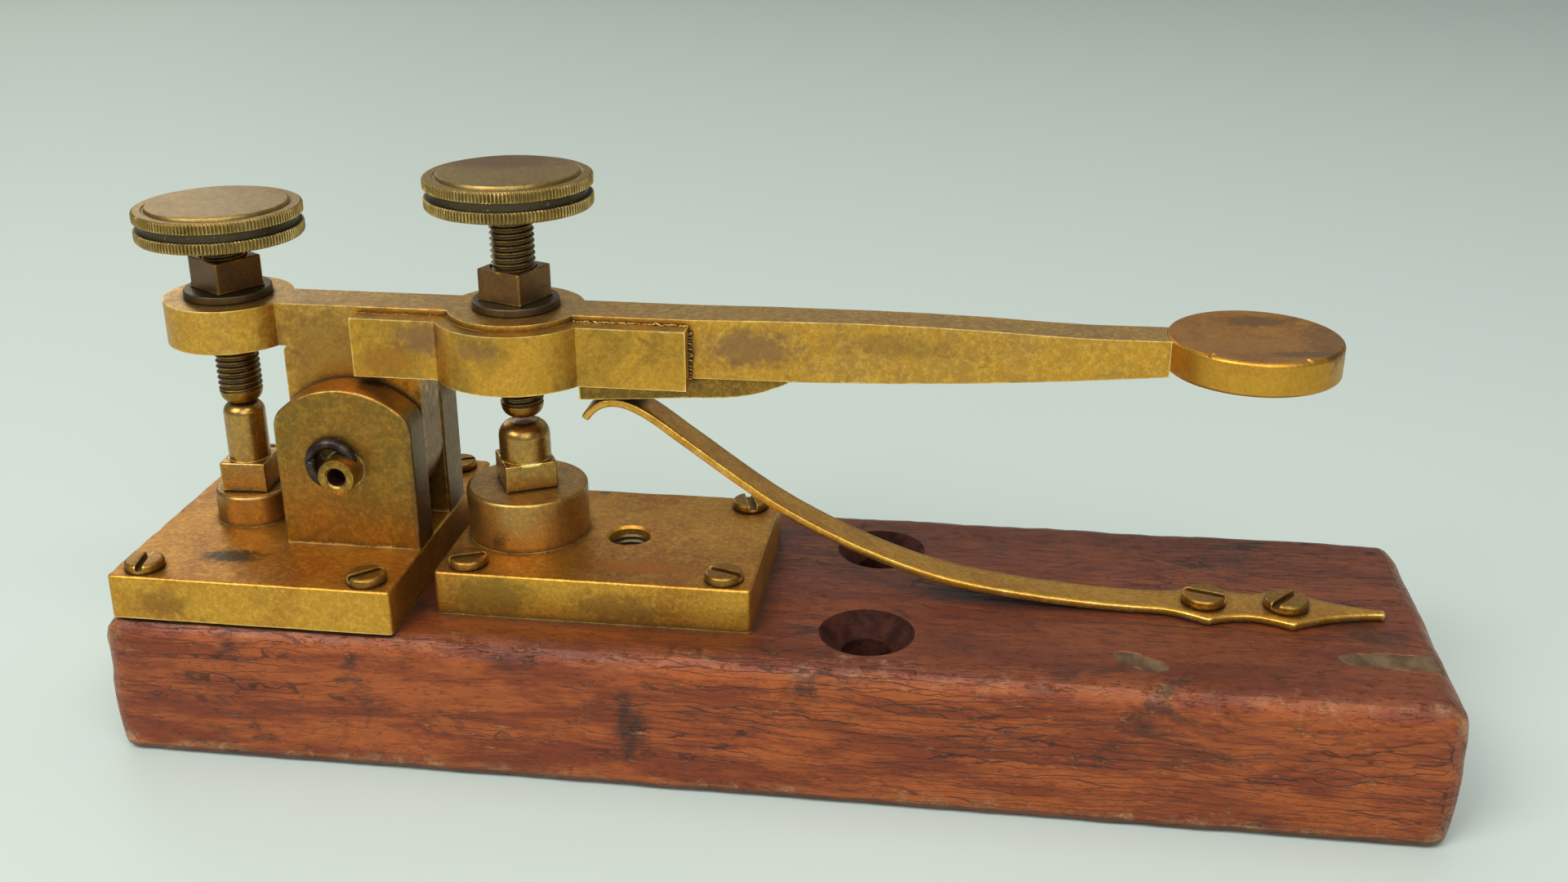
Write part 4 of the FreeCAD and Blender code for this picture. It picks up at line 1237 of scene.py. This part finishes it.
def makeSolder():
    # an uneven bead of solder along the top and the right end of the strap
    low, high = cad("side_strap")
    rng = random.Random(solderShape["seed"])
    face = high.y
    bm = bmesh.new()
    lines = [((-32.5, face - 0.15, high.z), (high.x, face - 0.15, high.z)),
             ((high.x + 0.12, face - 0.2, high.z - 0.8), (high.x + 0.12, face - 0.2, high.z - 9.0)),
             ((low.x + 0.6, face - 0.12, high.z - 0.08), (-53.5, face - 0.12, high.z - 0.08))]
    for index, (start, end) in enumerate(lines):
        start, end = Vector(start), Vector(end)
        count = int((end - start).length / solderShape["lumpEvery"])
        for i in range(count):
            size = solderShape["lump"] * (0.55 if index == 2 else 1) * rng.uniform(0.5, 1.25)
            spot = start.lerp(end, (i + rng.uniform(0.1, 0.9)) / count)
            spot += Vector((rng.uniform(-0.1, 0.1), rng.uniform(-0.12, 0.05), rng.uniform(-0.05, 0.1)))
            shape = Matrix.Translation(spot) @ Matrix.Rotation(rng.uniform(-0.5, 0.5), 4, "Y")
            sizes = rng.uniform(1, 3.2), rng.uniform(0.8, 1.2), rng.uniform(0.6, 0.9)
            shape = shape @ Matrix.Diagonal((*sizes, 1))
            bmesh.ops.create_icosphere(bm, subdivisions=2, radius=size, matrix=shape)
    return finishPiece(bm, "solderBead", "lever", [solderMetal], (), 80)


def makePad():
    low, high = cad("spring_pad")
    top = high.z
    lowestX, deepest, riseX, riseDepth, riseLength = -34.4, 5.1, -12.3, 3.6, 15.7
    points = [(low.x, top), (low.x, top - 4.2), (lowestX, top - deepest), (riseX, top - riseDepth)]
    points += [(riseX + riseLength * t, top - riseDepth + riseDepth * t ** 2.4)
               for t in (0.2, 0.4, 0.55, 0.7, 0.85, 1)]
    bm = bmesh.new()
    addOutline(bm, points, high.y - low.y)
    moveAll(bm, (0, low.y, 0))
    combine(bm, [rod(frontX, keyY, 50, 80, leverShape["frontBoss"][0], 96)], "DIFFERENCE")
    bevelSharp(bm, 0.3, 2, 40)
    return finishPiece(bm, "springPad", "lever", [padBrass], ["spring_pad"])


def dressHiddenScrews():
    # the screws that hold the cheeks from below stay as the CAD made them
    screws = bpy.data.objects["cheek_screws"]
    screws.data.materials.clear()
    screws.data.materials.append(screwBrass)


print("making the base and plates")
makeBase()
makePlate("rear_plate", "rearPlate", [])
makePlate("front_plate", "frontPlate", [(tappedHole["x"], tappedHole["y"], tappedHole["radius"])])
makeTappedRings()
plateTop = cad("rear_plate")[1].z
for side, slotAngles in (("rear", (100, 43, 70, 25)), ("front", (24, -20, 60, 108))):
    makeScrews(side + "_plate_screws", side + "PlateScrews", cornerPlaces(side + "_plate", slotAngles),
               plateScrew, plateTop)
makeScrews("spring_screws", "springScrews", [(72.0, keyY, -17), (85.4, keyY, 51)], springScrew,
           cad("base_block")[1].z + springShape["thickness"])
dressHiddenScrews()
print("making the pivot")
makeCheek("front_cheek", "frontCheek")
makeCheek("rear_cheek", "rearCheek")
makePin()
makeClip()
print("making the posts")
makePedestal("rear_pedestal", "rearPedestal")
makePedestal("front_pedestal", "frontPedestal")
makePost("rear_anvil", "rearContactPost", rearPost)
makePost("front_anvil", "frontContactPost", frontPost)
makeContact("rear_anvil_contact", "rearContactInset")
makeContact("front_anvil_contact", "frontContactInset")
print("making the spring")
spring = makeSpring()
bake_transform(spring)
print("making the lever")
makeLever()
makeDisc()
makeStrap()
makeSolder()
makePad()
print("making the adjusting screws")
for side, turn in (("rear", -33.5), ("front", -21.7)):
    makeWasher(side + "_washer", side + "Washer")
    makeNut(side + "_lock_nut", side + "LockNut", side + "_nut", turn)
    makeTip(side + "_contact_tip", side + "ContactTip", side + "_tip")
    makeScrew(side + "_adjusting_screw", side + "ThreadedRod", side + "_adjuster")
    makeKnob(side + "_knob", side + "Knob", side + "_adjuster")

# floor, light and camera

studio = {"camera": (35.0, -250.6, 153.4), "pitch": 22.11, "yaw": 7.652, "lens": 37.46,
          "floorColour": (0.56, 0.63, 0.585), "floorSize": 6.0, "worldColour": (0.62, 0.70, 0.66),
          "worldPower": 0.33}

floorMesh = bmesh.new()
bmesh.ops.create_grid(floorMesh, x_segments=1, y_segments=1, size=studio["floorSize"] / 2)
floor = bpy.data.objects.new("floor", asMesh(floorMesh, "floor"))
floorMesh.free()
floorPaint, _, floorShader = startMaterial("floorPaint")[:3]
floorShader.inputs["Base Color"].default_value = solid(studio["floorColour"])
floorShader.inputs["Roughness"].default_value = 0.6
floor.data.materials.append(floorPaint)
bpy.context.scene.collection.objects.link(floor)


def addLight(name, place, target, size, power, colour):
    data = bpy.data.lights.new(name, "AREA")
    data.shape, data.size, data.size_y = "RECTANGLE", size[0], size[1]
    data.energy, data.color = power, colour
    light = bpy.data.objects.new(name, data)
    light.location = place
    light.rotation_euler = (Vector(target) - Vector(place)).to_track_quat("-Z", "Y").to_euler()
    bpy.context.scene.collection.objects.link(light)


lights = {
    # place, point it faces, width and depth, power, colour
    "keyLight": ((-0.65, -0.75, 0.95), (-0.02, -0.05, 0.02), (0.7, 0.7), 9.4, (1, 0.98, 0.94)),
    "fillLight": ((0.35, -1.0, 0.75), (0.03, -0.05, 0.02), (0.8, 0.8), 5.3, (0.98, 0.99, 1)),
    "topLight": ((0.0, 0.5, 1.3), (0, 0.25, 0.0), (1.4, 0.9), 4.5, (1, 1, 1)),
    "stripLight": ((0.05, -0.42, 0.9), (0, -0.02, 0.03), (1.1, 0.12), 3.8, (1, 1, 0.98)),
    "backPanel": ((0.0, 1.6, 0.78), (0, 0, 0.04), (2.3, 0.7), 1.3, (1, 0.93, 0.80)),
    "leftPanel": ((-0.80, 0.95, 0.50), (-0.08, 0, 0.03), (0.5, 0.45), 1.3, (1, 0.95, 0.85)),
}
for lightName, settings in lights.items():
    addLight(lightName, *settings)

world = bpy.data.worlds.new("studioWorld")
world.use_nodes = True
world.node_tree.nodes["Background"].inputs["Color"].default_value = solid(studio["worldColour"])
world.node_tree.nodes["Background"].inputs["Strength"].default_value = studio["worldPower"]
bpy.context.scene.world = world

cameraData = bpy.data.cameras.new("camera")
cameraData.lens = studio["lens"]
cameraData.sensor_width = 36
camera = bpy.data.objects.new("camera", cameraData)
camera.location = Vector(studio["camera"]) * mm
camera.rotation_euler = (math.radians(90 - studio["pitch"]), 0, math.radians(studio["yaw"]))
bpy.context.scene.collection.objects.link(camera)
bpy.context.scene.camera = camera
bpy.context.scene.view_settings.view_transform = "Standard"
